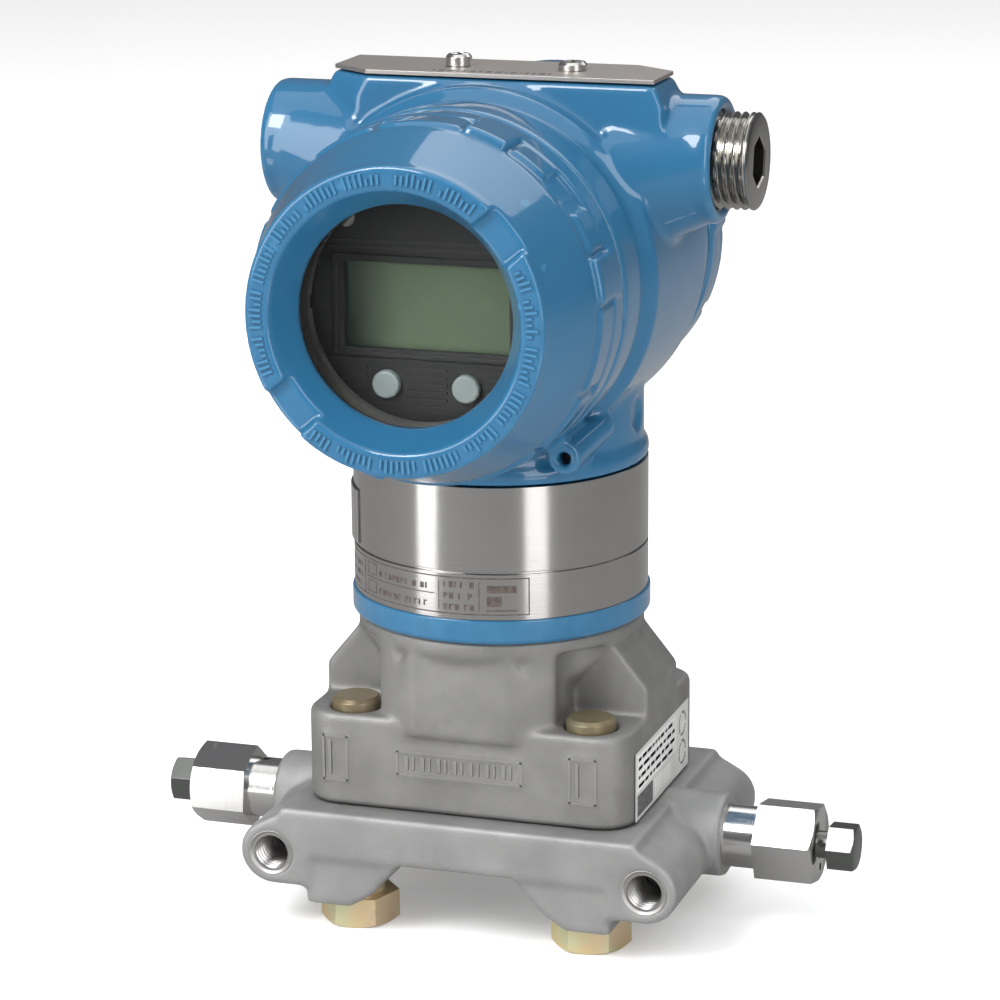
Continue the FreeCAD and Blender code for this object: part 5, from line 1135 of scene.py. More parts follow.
def plain_copy(node: str) -> bpy.types.Mesh:
    """Copy of a node's mesh with its points joined and flat faces made whole.

    Args:
        node: name of the CAD node.

    Returns:
        The copied mesh.
    """
    mesh = frame["nodes"][node].data.copy()
    if mesh.has_custom_normals:
        mesh.attributes.remove(mesh.attributes["custom_normal"])
    with worked(mesh) as work:
        bmesh.ops.remove_doubles(work, verts=work.verts, dist=0.002 * MM)
        bmesh.ops.dissolve_limit(work, angle_limit=math.radians(0.3), verts=work.verts, edges=work.edges)
    return mesh


def chamfered(node: str, finish: Finish, width: float, limit_deg: float = 28.0) -> bpy.types.Object:
    """Stand-in for a machined or moulded node, with every sharp edge broken.

    Args:
        node: the CAD node that it replaces.
        finish: its finish.
        width: width of the broken edge, in millimetres.
        limit_deg: edges sharper than this are broken.

    Returns:
        The new piece.
    """
    made = add_piece(node + "_piece", plain_copy(node), finish, body_of(node))
    bevel = made.modifiers.new("break_edges", "BEVEL")
    bevel.width = width * MM
    bevel.segments = 2
    bevel.limit_method = "ANGLE"
    bevel.angle_limit = math.radians(limit_deg)
    bevel.harden_normals = True
    for polygon in made.data.polygons:
        polygon.use_smooth = True
    bake_modifiers(made)
    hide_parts(node)
    return made

@dataclass(frozen=True)
class CastSkin:
    """Rebuilds a casting with the soft corners of its mould.

    The node's shape becomes a distance field, which is blurred by the corner size
    and meshed again. Every corner gets a round, and flat faces stay where they are.
    With a front, what lies before that depth is left out, for raised marks to stand there.
    """

    node: str
    voxel: float
    softness: float
    keep: float
    front: float | None = None

    def field(self) -> tuple[np.ndarray, np.ndarray]:
        """Blurred distance field in millimetres, and the index of its first cell.

        Returns:
            The field, and the index of its first cell.
        """
        mesh = frame["nodes"][self.node].data
        mesh.calc_loop_triangles()
        points = np.empty(len(mesh.vertices) * 3, np.float32)
        mesh.vertices.foreach_get("co", points)
        triangles = np.empty(len(mesh.loop_triangles) * 3, np.int32)
        mesh.loop_triangles.foreach_get("vertices", triangles)
        reach = math.ceil(3.2 * self.softness / self.voxel) + 2.0
        grid = openvdb.FloatGrid.createLevelSetFromPolygons(
            points.reshape(-1, 3) / MM, triangles=triangles.reshape(-1, 3),
            transform=openvdb.createLinearTransform(voxelSize=self.voxel), halfWidth=reach)
        low, high = grid.evalActiveVoxelBoundingBox()
        values = np.empty([int(b - a + 1) for a, b in zip(low, high)], np.float32)
        grid.copyToArray(values, ijk=low)
        if self.front is not None:
            depths = (low[1] + np.arange(values.shape[1])) * self.voxel
            values = np.maximum(values, (self.front - depths).astype(np.float32)[None, :, None])
        return self.blurred(values), np.array(low, float)

    def blurred(self, values: np.ndarray) -> np.ndarray:
        """Gaussian blur of the field along all three axes.

        Args:
            values: the field, cell by cell.

        Returns:
            The blurred field.
        """
        sigma = self.softness / self.voxel
        half = int(math.ceil(3 * sigma))
        offsets = np.arange(-half, half + 1)
        weights = np.exp(-0.5 * (offsets / sigma) ** 2)
        weights /= weights.sum()
        for axis in range(3):
            pads = [(half, half) if index == axis else (0, 0) for index in range(3)]
            padded = np.pad(values, pads, mode="edge")
            total = np.zeros_like(values)
            for shift, weight in enumerate(weights):
                window = [slice(None)] * 3
                window[axis] = slice(shift, shift + values.shape[axis])
                total += weight * padded[tuple(window)]
            values = total
        return values

    @staticmethod
    def sampled(values: np.ndarray, cells: np.ndarray) -> np.ndarray:
        """Values at points between the cells, by linear interpolation.

        Args:
            values: a field, or a slope in each cell.
            cells: the points, counted in cells.

        Returns:
            One row for each point.
        """
        top = np.array(values.shape[:3]) - 1.001
        cells = np.clip(cells, 0, top)
        whole = np.floor(cells).astype(int)
        part = cells - whole
        total = 0.0
        for corner in range(8):
            step = np.array([corner & 1, corner >> 1 & 1, corner >> 2 & 1])
            share = np.prod(np.where(step, part, 1 - part), axis=1)
            x, y, z = (whole + step).T
            found = values[x, y, z]
            total = total + (share[:, None] * found if found.ndim > 1 else share * found)
        return total

    def seated(self, places: np.ndarray, values: np.ndarray, slope: np.ndarray,
               first: np.ndarray) -> tuple[np.ndarray, np.ndarray]:
        """Points pulled exactly onto the surface, and the surface's normals there.

        Args:
            places: the points, in millimetres.
            values: the field, cell by cell.
            slope: the field's slope in each cell.
            first: index of the field's first cell.

        Returns:
            The moved points, and the normals.
        """
        for _ in range(3):
            cells = places / self.voxel - first
            lean = self.sampled(slope, cells)
            length = np.maximum(np.linalg.norm(lean, axis=1, keepdims=True), 0.2)
            step = np.clip(self.sampled(values, cells)[:, None] / length, -self.voxel, self.voxel)
            places = places - step * lean / length
        lean = self.sampled(slope, places / self.voxel - first)
        return places, lean / np.maximum(np.linalg.norm(lean, axis=1, keepdims=True), 1e-6)

    def piece(self, finish: Finish) -> bpy.types.Object:
        """Mesh the blurred field, thin it out and put it in place of the node.

        Args:
            finish: its finish.

        Returns:
            The new piece.
        """
        values, first = self.field()
        slope = np.stack(np.gradient(values), axis=-1)
        grid = openvdb.FloatGrid(float(values.max()))
        grid.transform = openvdb.createLinearTransform(voxelSize=self.voxel)
        grid.copyFromArray(values, ijk=tuple(int(index) for index in first))
        places, quads = grid.convertToQuads(isovalue=0.0)
        places, _ = self.seated(np.array(places, float), values, slope, first)
        mesh = bpy.data.meshes.new(self.node)
        mesh.from_pydata(places * MM, [], np.array(quads).tolist())
        made = add_piece(self.node + "_skin", mesh, finish, body_of(self.node))
        thin = made.modifiers.new("thin_out", "DECIMATE")
        thin.ratio = self.keep
        bake_modifiers(made)
        self.round_normals(made.data, values, slope, first)
        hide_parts(self.node)
        return made

    def round_normals(self, mesh: bpy.types.Mesh, values: np.ndarray, slope: np.ndarray,
                      first: np.ndarray) -> None:
        """Seat the final points and give them the field's own normals.

        Args:
            mesh: the mesh.
            values: the field, cell by cell.
            slope: the field's slope in each cell.
            first: index of the field's first cell.
        """
        points = np.empty(len(mesh.vertices) * 3)
        mesh.vertices.foreach_get("co", points)
        places, normals = self.seated(points.reshape(-1, 3) / MM, values, slope, first)
        mesh.vertices.foreach_set("co", (places * MM).ravel())
        for polygon in mesh.polygons:
            polygon.use_smooth = True
        mesh.normals_split_custom_set_from_vertices(normals.tolist())
        mesh.update()


def dress(node: str, finish: Finish) -> None:
    """Give a CAD node that stays as it is its finish.

    Args:
        node: name of the CAD node.
        finish: its finish.
    """
    target = frame["nodes"][node]
    target.data.materials.clear()
    target.data.materials.append(finish.material())
    log.info("%s: CAD node dressed", node)


# ============================================================ flange with bolts and valves
SIDES = (("left", -1.0), ("right", 1.0))
MODULE_BODY = "flange_and_module"


@dataclass(frozen=True)
class CutHole:
    """Threaded hole with a machined lip at its mouth."""

    bore: float
    thread_height: float
    pitch: float
    depth: float
    lip_width: float = 0.45
    lip_drop: float = 1.6
    play: float = 0.05
    steps: int = 64

    def build(self, kind: str, where: str, spindle: Spindle) -> None:
        """Make the lip and the thread; the spindle stands at the mouth and points out.

        Args:
            kind: what kind of hole it is.
            where: which one of them.
            spindle: where it stands and which way it points.
        """
        lip, thread = f"{kind}_lip_{where}", f"{kind}_thread_{where}"
        wide = self.bore + self.lip_width
        profile = [(self.bore - 0.12, -self.lip_drop), (self.bore - 0.12, -self.lip_width),
                   (wide, -0.02), (wide + 0.12, -0.06), (wide + 0.3, -1.2), (self.bore + 0.4, -self.lip_drop)]
        add_piece(lip, lathe(lip, profile, spindle), LIP_STEEL, MODULE_BODY)
        cut = Thread(self.bore - self.thread_height, self.bore - self.play, self.pitch,
                     -self.depth, -self.lip_width, steps=self.steps)
        thread_liner(thread, cut, spindle, self.bore - 0.02, BORE_STEEL, MODULE_BODY)


@dataclass(frozen=True)
class FlangeAssembly:
    """Coplanar flange with its bolts, drain valves and cut threads."""

    mount_hole: CutHole = CutHole(bore=4.5, thread_height=0.62, pitch=1.27, depth=14.0)
    mount_inset: float = 9.7
    mount_height: float = 11.3
    port: CutHole = CutHole(bore=6.6, thread_height=0.6, pitch=1.41, depth=12.0)
    port_spacing: float = 54.0
    boss_profile: tuple = ((6.95, -0.8), (6.95, -0.05), (7.3, 0.0), (8.3, 0.0), (8.6, -0.25), (8.6, -0.8))

    def build(self) -> None:
        """Make the casting, its threads and the fasteners."""
        CastSkin("coplanar_flange", voxel=0.62, softness=0.62, keep=0.65).piece(FLANGE_CAST)
        self.holes()
        for face in ("front", "rear"):
            for side, _ in SIDES:
                chamfered(f"flange_bolt_{face}_{side}", ZINC, 0.25)
        self.valves()

    def holes(self) -> None:
        """Four mounting holes in the ears and two process ports underneath."""
        ear_x = highest("coplanar_flange", Axis.X) - self.mount_inset
        depth = highest("coplanar_flange", Axis.Y)
        for side, way in SIDES:
            for face, sign in (("front", -1.0), ("rear", 1.0)):
                origin = (way * ear_x, sign * depth, self.mount_height)
                self.mount_hole.build("mount_hole", f"{face}_{side}", Spindle(origin, Axis.Y, sign))
        for side, way in SIDES:
            origin = (way * self.port_spacing / 2, 0.0, 0.0)
            self.port.build("process_port", side, Spindle(origin, Axis.Z, -1.0))

    def valves(self) -> None:
        """Valve seats, vent screws and their balls, and what seals the ports."""
        boss_end = highest("coplanar_flange", Axis.X)
        height = middle("vent_ball_left", Axis.Z)
        for side, sign in SIDES:
            chamfered("valve_seat_" + side, SEAT_STEEL, 0.22)
            chamfered("vent_screw_" + side, VENT_STEEL, 0.22)
            dress("vent_ball_" + side, SEAT_STEEL)
            name = "boss_face_" + side
            spindle = Spindle((sign * boss_end, 0.0, height), Axis.X, sign)
            add_piece(name, lathe(name, self.boss_profile, spindle), LIP_STEEL, MODULE_BODY)
            for node in ("isolating_diaphragm_", "isolator_tube_"):
                dress(node + side, SEAT_STEEL)
            dress("process_oring_" + side, RUBBER)


# ============================================================ module base, collar and can
Field = tuple[float, float, float, float]


@dataclass(frozen=True)
class ModuleBase:
    """Cast base of the sensor module with raised marks where a foundry puts its code.

    A field is its left, right, lower and upper edge.
    """

    front: float = -28.5
    rise: float = 0.35
    sunk: float = 0.1
    line: float = 0.55
    bevel: float = 0.12
    fields: tuple[Field, ...] = ((-15.1, 13.8, 30.3, 36.1), (-32.3, -26.3, 27.6, 38.2),
                                 (24.2, 30.6, 27.6, 38.2))
    code_count: int = 7
    code_start: float = -13.2
    code_width: float = 26.0
    code_strokes: tuple[tuple[float, float], ...] = ((0.0, 0.9), (1.7, 2.3))
    code_heights: tuple[float, float] = (31.6, 34.8)
    side_strokes: tuple[Field, ...] = ((-30.9, -30.2, 29.0, 36.8), (25.8, 26.5, 29.0, 36.8))

    def build(self) -> None:
        """Make the casting and its marks."""
        CastSkin("module_base", voxel=0.58, softness=0.60, keep=0.65).piece(MODULE_CAST)
        made = Builder()
        for left, right, low, high in self.bars():
            made.bar((left, right), (low, high), self.front + self.sunk, Axis.Y, -self.rise, self.bevel)
        made.piece("foundry_marks", MODULE_CAST, MODULE_BODY)

    def bars(self) -> list[Field]:
        """Every raised bar: four round each field, and the strokes in them.

        Returns:
            The edges of each bar.
        """
        bars = []
        for left, right, low, high in self.fields:
            bars += [(left, right, low, low + self.line), (left, right, high - self.line, high),
                     (left, left + self.line, low, high), (right - self.line, right, low, high)]
        for index in range(self.code_count):
            place = self.code_start + index * self.code_width / self.code_count
            bars += [(place + left, place + right, *self.code_heights) for left, right in self.code_strokes]
        return bars + list(self.side_strokes)


@dataclass(frozen=True)
class SideLabel:
    """Silver label with rows of plain bars, two rings and dark fields."""

    thick: float = 0.015
    bevel: float = 0.02
    row_count: int = 4
    row_pitch: float = 2.0
    row_height: float = 0.85
    tick_count: int = 9
    tick_pitch: float = 1.5
    ring_edges: tuple[float, float] = (2.3, 2.9)
    ring_inset: tuple[float, float] = (5.0, 4.4)
    ring_steps: int = 24

    def build(self) -> None:
        """Make the plate and its print; places on it count from its front and lower edges."""
        chamfered("side_label", LABEL_SILVER, 0.05)
        face = highest("side_label", Axis.X)
        front = lowest("side_label", Axis.Y)
        low, high = lowest("side_label", Axis.Z), highest("side_label", Axis.Z)
        dice = random.Random(7)
        ink, pale = Builder(), Builder()

        def patch(made: Builder, y0: float, y1: float, z0: float, z1: float) -> None:
            """One printed rectangle."""
            made.bar((front + y0, front + y1), (z0, z1), face, Axis.X, self.thick, self.bevel)

        patch(pale, 0.8, 32.0, low + 6.4, high - 0.8)
        for row in range(self.row_count):
            top = high - 1.6 - row * self.row_pitch
            reach = 1.8
            while reach < 29.0:
                width = dice.uniform(1.2, 4.6)
                patch(ink, reach, min(reach + width, 30.5), top - self.row_height, top)
                reach += width + dice.uniform(0.6, 1.2)
        patch(ink, 1.0, 13.0, low + 0.8, low + 5.6)
        for index in range(self.tick_count):
            place = 14.6 + index * self.tick_pitch
            patch(pale, place, place + 0.7, low + 1.2, low + 5.2)
        inset_y, inset_z = self.ring_inset
        for z in (high - inset_z, low + inset_z):
            self.ring(ink, (face, highest("side_label", Axis.Y) - inset_y, z))
        pale.piece("label_fields", LABEL_PALE, MODULE_BODY)
        ink.piece("label_bars", LABEL_INK, MODULE_BODY)

    def ring(self, ink: Builder, centre: Point) -> None:
        """Printed ring with three gaps.

        Args:
            ink: what collects the print.
            centre: middle of the ring.
        """
        face, y, z = centre
        inner, outer = self.ring_edges
        for step in range(self.ring_steps):
            if step % 8 == 7:
                continue
            first, last = (math.tau * (step + turn) / self.ring_steps for turn in (0.0, 0.8))
            corners = [Vector((face, y + reach * math.cos(angle), z + reach * math.sin(angle)))
                       for reach, angle in ((inner, first), (outer, first), (outer, last), (inner, last))]
            ink.slab(corners, Vector((self.thick, 0, 0)), self.bevel / 2)


@dataclass(frozen=True)
class SensorModule:
    """Collar, turned can with its etched field and tag, and what is inside.

    Distances round the can count from its front, heights from the field's lower edge.
    """

    etch_rise: float = 0.02
    field: Field = (-44.0, 16.4, 69.3, 77.6)
    line: float = 0.28
    dividers: tuple[tuple[float, float], ...] = ((-27.0, 0.0), (-3.6, 0.9), (5.4, 0.9))
    box_edges: tuple[float, float] = (-25.4, -21.9)
    box_height: float = 2.7
    word_rows: tuple = ((-20.6, -6.0, 1.3, (1.2, 5.1)), (-2.4, 4.4, 1.35, (0.9, 3.4, 5.9)),
                        (-40.0, -28.4, 1.1, (1.0, 3.2, 5.4)))
    blocks: tuple[Field, ...] = ((7.2, 13.6, 5.0, 6.6), (7.2, 10.4, 2.0, 4.2), (7.2, 13.6, 0.9, 1.25))

    def build(self) -> None:
        """Make and dress every piece of the module."""
        chamfered("module_collar", BLUE, 0.35)
        chamfered("sensor_module_can", CAN_STEEL, 0.12)
        chamfered("module_tag", CAN_STEEL, 0.12)
        self.etching()
        for node, finish in (("sensor_cell", SEAT_STEEL), ("module_board", BOARD_GREEN),
                             ("module_connector", TERMINAL_BLACK), ("housing_oring", RUBBER)):
            dress(node, finish)

    def etching(self) -> None:
        """Etched fields on the can, with plain strokes instead of words."""
        radius = highest("sensor_module_can", Axis.X)
        made = Builder()
        dice = random.Random(21)
        left, right, low, high = self.field
        tall, centre = high - low, (high - low) / 2
        line, thin = self.line, self.line * 0.8

        def patch(x0: float, x1: float, z0: float, z1: float) -> None:
            """One etched patch."""
            angles = tuple(math.degrees(x / radius) for x in (x0, x1))
            made.wrapped(radius, self.etch_rise, angles, (low + z0, low + z1))

        patch(left, right, tall - line, tall)
        patch(left, right, 0.0, line)
        for x in (left, right - line):
            patch(x, x + line, 0.0, tall)
        for x, gap in self.dividers:
            patch(x, x + thin, gap, tall - gap)
        patch(-26.0, -4.6, centre, centre + thin)
        for z in (0.9, centre + 0.7):
            for x in self.box_edges:
                patch(x, x + thin, z, z + self.box_height)
            start, end = self.box_edges[0], self.box_edges[1] + 0.2
            patch(start, end, z, z + thin)
            patch(start, end, z + self.box_height - 0.2, z + self.box_height)
        for start, end, height, rows in self.word_rows:
            for z in rows:
                reach = start
                while reach < end - 0.5:
                    patch(reach, reach + 0.42, z, z + height)
                    if dice.random() < 0.55:
                        foot, top = dice.choice((0.0, 0.42, 0.8)), dice.choice((0.95, 1.0))
                        patch(reach, reach + 0.95, z + height * foot, z + height * top)
                    reach += dice.choice((1.25, 1.25, 1.25, 2.1))
        for block in self.blocks:
            patch(*block)
        made.piece("can_etching", CAN_ETCH, MODULE_BODY)


# ============================================================ housing, nameplate and plug
@dataclass(frozen=True)
class Housing:
    """Painted two-compartment housing with its small fasteners."""

    entry_bore: float = 10.4
    entry_depth: float = 14.0
    entry_pitch: float = 1.814
    plug_thread: float = 1.15
    plug_steps: int = 120
    socket_half: float = 4.8
    socket_depth: float = 9.0
    socket_turn_deg: float = 10.0
    print_ends: tuple[float, float] = (-12.0, 14.0)
    print_rows: tuple[float, float] = (2.0, 4.4)

    def build(self) -> None:
        """Make the casting and what is fixed to it."""
        CastSkin("electronics_housing", voxel=0.68, softness=0.62, keep=0.56).piece(BLUE)
        self.entry_thread()
        chamfered("nameplate", PLATE_STEEL, 0.10)
        self.plate_print()
        for side, _ in SIDES:
            chamfered("nameplate_screw_" + side, SCREW_STEEL, 0.18)
        for name in ("zero", "span"):
            dress("adjust_button_" + name, ADJUST_WHITE)
        dress("rotation_set_screw", VENT_STEEL)
        self.plug()

    def entry_thread(self) -> None:
        """Cut thread of the open conduit entry on the left."""
        origin = (lowest("electronics_housing", Axis.X), 0.0, middle("conduit_plug", Axis.Z))
        bore = self.entry_bore
        thread = Thread(bore - 0.95, bore - 0.06, self.entry_pitch, -self.entry_depth, -0.7)
        thread_liner("entry_thread_left", thread, Spindle(origin, Axis.X, -1.0), bore - 0.03,
                     THREAD_ALLOY, "housing")

    def plate_print(self) -> None:
        """Short dark bars near the front edge of the nameplate."""
        top = highest("nameplate", Axis.Z)
        rows = tuple(lowest("nameplate", Axis.Y) + row for row in self.print_rows)
        dice = random.Random(3)
        made = Builder()
        reach, end = self.print_ends
        while reach < end:
            width = dice.choice((0.5, 0.9, 1.6))
            made.bar((reach, reach + width), rows, top, Axis.Z, 0.015, 0.02)
            reach += width + 0.6
        made.piece("nameplate_bars", LABEL_INK, "nameplate")

    def socket(self, turn: float) -> float:
        """Reach of the hexagon socket's wall at a share of a turn.

        Args:
            turn: share of a turn.

        Returns:
            The wall's distance from the axis.
        """
        sixth = math.tau / 6
        angle = (math.tau * turn + math.radians(self.socket_turn_deg)) % sixth - sixth / 2
        return self.socket_half / math.cos(angle)

    def plug(self) -> None:
        """Pipe plug: threaded outside, hexagon socket in its face."""
        node = "conduit_plug"
        start, end = lowest(node, Axis.X), highest(node, Axis.X)
        crest = (highest(node, Axis.Z) - lowest(node, Axis.Z)) / 2
        spindle = Spindle((0.0, 0.0, middle(node, Axis.Z)), Axis.X)
        thread = Thread(crest, crest - self.plug_thread, self.entry_pitch, start, end - 0.5, fade=0.9,
                        steps=self.plug_steps)
        points, faces = thread.grid(spindle)
        low = thread.rows() * thread.steps
        rings = ((lambda turn: crest - 0.5, 0.08), (lambda turn: crest - 0.75, 0.0),
                 (lambda turn: self.socket(turn) + 0.35, 0.0), (self.socket, 0.35),
                 (self.socket, self.socket_depth), (lambda turn: 0.5, self.socket_depth + 0.6))
        for radius, drop in rings:
            high = len(points)
            points += spindle.ring(thread.steps, radius, end - drop)
            faces += stitched(low, high, thread.steps)
            low = high
        faces.append(tuple(low + step for step in range(thread.steps)))
        faces.append(tuple(reversed(range(thread.steps))))
        mesh = mesh_from("threaded_plug", points, faces, 40.0)
        made = add_piece("threaded_plug", mesh, PLUG_STEEL, "housing")
        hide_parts(node)


# ============================================================ covers and display
@dataclass(frozen=True)
class Covers:
    """Both screwed covers with the window and its mounting."""

    mark_rise: float = 0.45
    mark_sunk: float = 0.15
    mark_inner: float = 28.15
    mark_outer: float = 30.85
    mark_width: float = 0.55
    mark_bevel: float = 0.10
    mark_pitch_deg: float = 2.35
    mark_lengths: tuple[float, ...] = (1.0, 1.0, 0.55, 0.75)
    word_length: int = 8
    key_slots_deg: tuple[float, float] = (50.2, 230.2)
    slot_clear_deg: float = 13.5

    def build(self) -> None:
        """Make both covers and dress their seals."""
        band_face = lowest("display_cover", Axis.Y) + self.mark_rise
        CastSkin("display_cover", voxel=0.46, softness=0.40, keep=0.58, front=band_face).piece(BLUE)
        CastSkin("rear_cover", voxel=0.56, softness=0.50, keep=0.52).piece(BLUE)
        self.band_marks(band_face)
        for node in ("display_cover_oring", "rear_cover_oring", "window_gasket"):
            dress(node, RUBBER)
        dress("window_retainer", THREAD_ALLOY)
        dress("cover_window", GLASS)

    def band_marks(self, face: float) -> None:
        """Groups of raised strokes round the band, clear of the key slots.

        Args:
            face: depth of the band.
        """
        centre = Vector((0, face + self.mark_sunk, middle("cover_window", Axis.Z)))
        rise = Vector((0, -self.mark_rise - self.mark_sunk, 0))
        made = Builder()
        dice = random.Random(11)
        for index in range(int(360 / self.mark_pitch_deg)):
            angle_deg = self.mark_pitch_deg * index
            away = min(abs((angle_deg - slot + 180) % 360 - 180) for slot in self.key_slots_deg)
            length = dice.choice(self.mark_lengths)
            if away < self.slot_clear_deg or index % self.word_length == 0:
                continue
            angle = math.radians(angle_deg)
            way = Vector((math.sin(angle), 0, math.cos(angle)))
            across = Vector((math.cos(angle), 0, -math.sin(angle))) * self.mark_width / 2
            inner = centre + way * self.mark_inner
            outer = inner + way * (self.mark_outer - self.mark_inner) * length
            made.slab([inner - across, inner + across, outer + across, outer - across], rise, self.mark_bevel)
        made.piece("band_marks", BLUE, "display_cover")


@dataclass(frozen=True)
class Display:
    """Meter behind the window: ribbed black face, display glass and two keys."""

    face_step: float = 0.8
    face_radius: float = 26.5
    rib_rise: float = 0.35
    rib_width: float = 0.55
    rib_bevel: float = 0.1
    ribs_above: tuple[float, float] = (1.6, 3.0)
    rib_drop: float = 1.4
    rib_pitch: float = 1.55
    ribs_below: int = 8
    key_clear: tuple[float, float] = (4.2, 3.6)

    def build(self) -> None:
        """Make the ribs and dress the meter."""
        chamfered("display_housing", METER_BLACK, 0.20)
        chamfered("lcd_panel", LCD, 0.10)
        for side, _ in SIDES:
            chamfered("display_button_" + side, BUTTON_GREY, 0.30)
        dress("display_board", BOARD_GREEN)
        dress("display_screws", SCREW_STEEL)
        self.ribs()

    def ribs(self) -> None:
        """Level ribs above and below the display glass, cut to the round face and clear of the keys."""
        face = lowest("display_housing", Axis.Y) + self.face_step
        axis_z = middle("cover_window", Axis.Z)
        low, high = lowest("lcd_panel", Axis.Z), highest("lcd_panel", Axis.Z)
        key_x = abs(middle("display_button_left", Axis.X))
        key_z = middle("display_button_left", Axis.Z)
        clear_x, clear_z = self.key_clear
        heights = [high + gap for gap in self.ribs_above]
        heights += [low - self.rib_drop - self.rib_pitch * index for index in range(self.ribs_below)]
        made = Builder()
        for z in heights:
            half = math.sqrt(max(0.0, self.face_radius ** 2 - (z - axis_z) ** 2))
            ends = [-half, half]
            if abs(z - key_z) < clear_z:
                ends[1:1] = [-key_x - clear_x, -key_x + clear_x, key_x - clear_x, key_x + clear_x]
            for span in zip(ends[::2], ends[1::2]):
                made.bar(span, (z, z + self.rib_width), face, Axis.Y, -self.rib_rise, self.rib_bevel)
        made.piece("meter_ribs", BEZEL_BLACK, "housing")


class Internals:
    """Electronics and terminals inside the housing."""

    def build(self) -> None:
        """Dress the pieces that show when the covers are off."""
        chamfered("electronics_puck", TERMINAL_BLACK, 0.4)
        chamfered("terminal_block", TERMINAL_BLACK, 0.25)
        for node in ("electronics_screws", "terminal_screws", "terminal_block_screws", "ground_screw"):
            chamfered(node, SCREW_STEEL, 0.12)


# ============================================================ studio
@dataclass(frozen=True)
class Softbox:
    """One rectangular soft light that faces the object: angles in degrees, lengths in metres."""

    name: str
    azimuth: float
    elevation: float
    distance: float
    width: float
    height: float
    power: float

    def build(self, target: Vector) -> None:
        """Hang the light round the target.

        Args:
            target: the point that it faces, in metres.
        """
        data = bpy.data.lights.new(self.name, "AREA")
        data.shape = "RECTANGLE"
        data.size, data.size_y = self.width, self.height
        data.energy = self.power
        made = bpy.data.objects.new(self.name, data)
        turn, lift = math.radians(self.azimuth), math.radians(self.elevation)
        back = Vector((math.sin(turn) * math.cos(lift), -math.cos(turn) * math.cos(lift), math.sin(lift)))
        made.location = target + back * self.distance
        made.rotation_mode = "QUATERNION"
        made.rotation_quaternion = back.to_track_quat("Z", "Y")
        bpy.context.scene.collection.objects.link(made)


SOFTBOXES = (
    Softbox("key_softbox", -25.0, 43.0, 1.10, 0.40, 0.40, 7.0),
    Softbox("left_panel", -38.0, 24.0, 1.15, 0.38, 1.30, 7.6),
    Softbox("right_panel", 46.0, 22.0, 1.15, 0.42, 1.20, 5.6),
    Softbox("side_panel", 84.0, 30.0, 1.15, 0.60, 1.00, 0.2),
    Softbox("left_strip", -38.0, -12.0, 0.30, 0.080, 0.055, 0.038),
    Softbox("right_strip", 44.0, -12.0, 0.30, 0.085, 0.055, 0.034),
    Softbox("top_panel", 10.0, 84.0, 1.20, 1.30, 1.30, 6.0),
    Softbox("rear_panel", 165.0, 50.0, 1.40, 1.20, 0.80, 6.0),
)


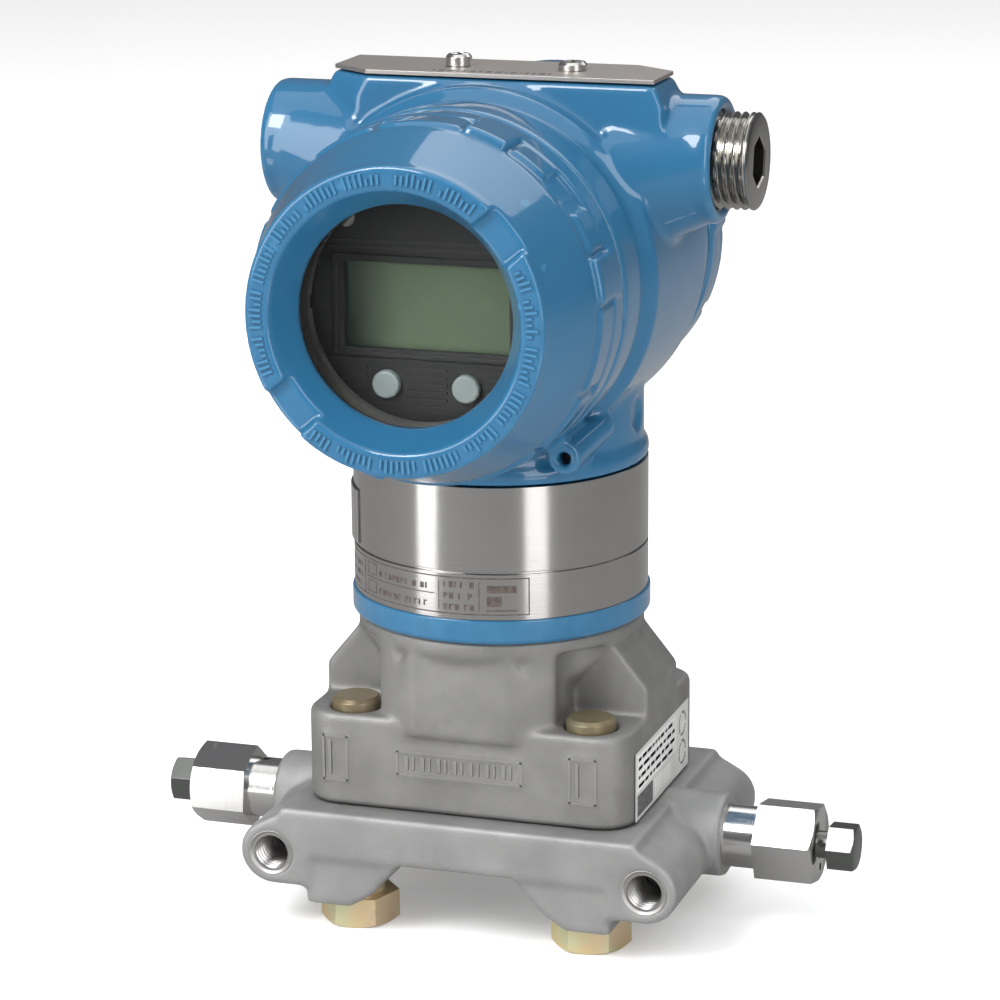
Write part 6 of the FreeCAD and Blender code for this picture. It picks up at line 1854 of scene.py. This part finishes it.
@dataclass(frozen=True)
class Studio:
    """Camera, soft lights and pale floor."""

    azimuth: float = 18.47
    elevation: float = 14.70
    roll: float = -0.45
    lens: float = 131.8
    shift: tuple[float, float] = (0.0060, 0.00535)
    position: Point = (246.1, -741.8, 290.2)
    target: Point = (-1.65, 0.0, 84.93)
    floor_lift: float = 0.22

    def build(self) -> None:
        """Set up everything round the object."""
        bpy.context.scene.view_settings.view_transform = "Standard"
        self.camera()
        self.floor()
        self.world()
        for light in SOFTBOXES:
            light.build(Vector(self.target) * MM)

    def camera(self) -> None:
        """Camera that looks down on the front from its right."""
        data = bpy.data.cameras.new("camera")
        data.lens = self.lens
        data.sensor_width = 36.0
        data.shift_x, data.shift_y = self.shift
        data.clip_start = 0.02
        data.clip_end = 50.0
        made = bpy.data.objects.new("camera", data)
        azimuth, elevation, roll = map(math.radians, (self.azimuth, self.elevation, self.roll))
        back = Vector((math.sin(azimuth) * math.cos(elevation), -math.cos(azimuth) * math.cos(elevation),
                       math.sin(elevation)))
        side = Vector((math.cos(azimuth), math.sin(azimuth), 0.0))
        up = back.cross(side)
        right = side * math.cos(roll) + up * math.sin(roll)
        top = up * math.cos(roll) - side * math.sin(roll)
        matrix = Matrix((right, top, back)).transposed().to_4x4()
        matrix.translation = Vector(self.position) * MM
        made.matrix_world = matrix
        bpy.context.scene.collection.objects.link(made)
        bpy.context.scene.camera = made

    def floor(self) -> None:
        """Pale round floor under the bolt heads; it shows greyer in reflections."""
        level = CAD_BOX[0].z / MM
        profile = [(0.0, 0.0), (1500.0, 0.0), (6000.0, 0.0), (6000.0, -5.0), (0.0, -5.0)]
        mesh = lathe("floor", profile, Spindle((0.0, 0.0, level), Axis.Z), 64)
        made = bpy.data.objects.new("floor", mesh)
        bpy.context.scene.collection.objects.link(made)
        paper = bpy.data.materials.new("floor_paper")
        paper.use_nodes = True
        graph = Graph(paper.node_tree)
        shader = paper.node_tree.nodes["Principled BSDF"]
        tone = graph.noise(graph.place(), 3.0, 2.0)
        graph.feed(shader.inputs["Base Color"], graph.mix(tone, (0.86, 0.86, 0.86), (0.90, 0.90, 0.90)))
        shader.inputs["Roughness"].default_value = 0.9
        shader.inputs["Specular IOR Level"].default_value = 0.1
        grey = graph.node("BsdfDiffuse")
        grey.inputs["Color"].default_value = (0.27, 0.27, 0.27, 1.0)
        blend = graph.node("MixShader")
        path = graph.node("LightPath")
        lift = graph.node("Emission")
        seen = graph.math("MULTIPLY", path.outputs["Is Camera Ray"], self.floor_lift)
        graph.feed(lift.inputs["Strength"], seen)
        lifted = graph.node("AddShader")
        graph.feed(lifted.inputs[0], shader.outputs[0])
        graph.feed(lifted.inputs[1], lift.outputs[0])
        graph.feed(blend.inputs[0], path.outputs["Is Glossy Ray"])
        graph.feed(blend.inputs[1], lifted.outputs[0])
        graph.feed(blend.inputs[2], grey.outputs[0])
        graph.feed(paper.node_tree.nodes["Material Output"].inputs["Surface"], blend.outputs[0])
        mesh.materials.append(paper)

    def world(self) -> None:
        """Pale surroundings for the eye, dimmer ones for reflections."""
        made = bpy.data.worlds.new("studio")
        bpy.context.scene.world = made
        made.use_nodes = True
        graph = Graph(made.node_tree)
        back = made.node_tree.nodes["Background"]
        path = graph.node("LightPath")
        around = graph.mix(path.outputs["Is Glossy Ray"], (0.58, 0.58, 0.58), (0.13, 0.13, 0.14))
        graph.feed(back.inputs["Color"], graph.mix(path.outputs["Is Camera Ray"], around, (1.0, 1.0, 1.0)))
        back.inputs["Strength"].default_value = 1.0


def main() -> None:
    """Build every sub-assembly in order."""
    logging.basicConfig(level=logging.INFO, format="%(name)s: %(message)s")
    for assembly in (Studio, FlangeAssembly, ModuleBase, SideLabel, SensorModule, Housing, Covers, Display,
                     Internals):
        assembly().build()


if __name__ == "__main__":
    main()
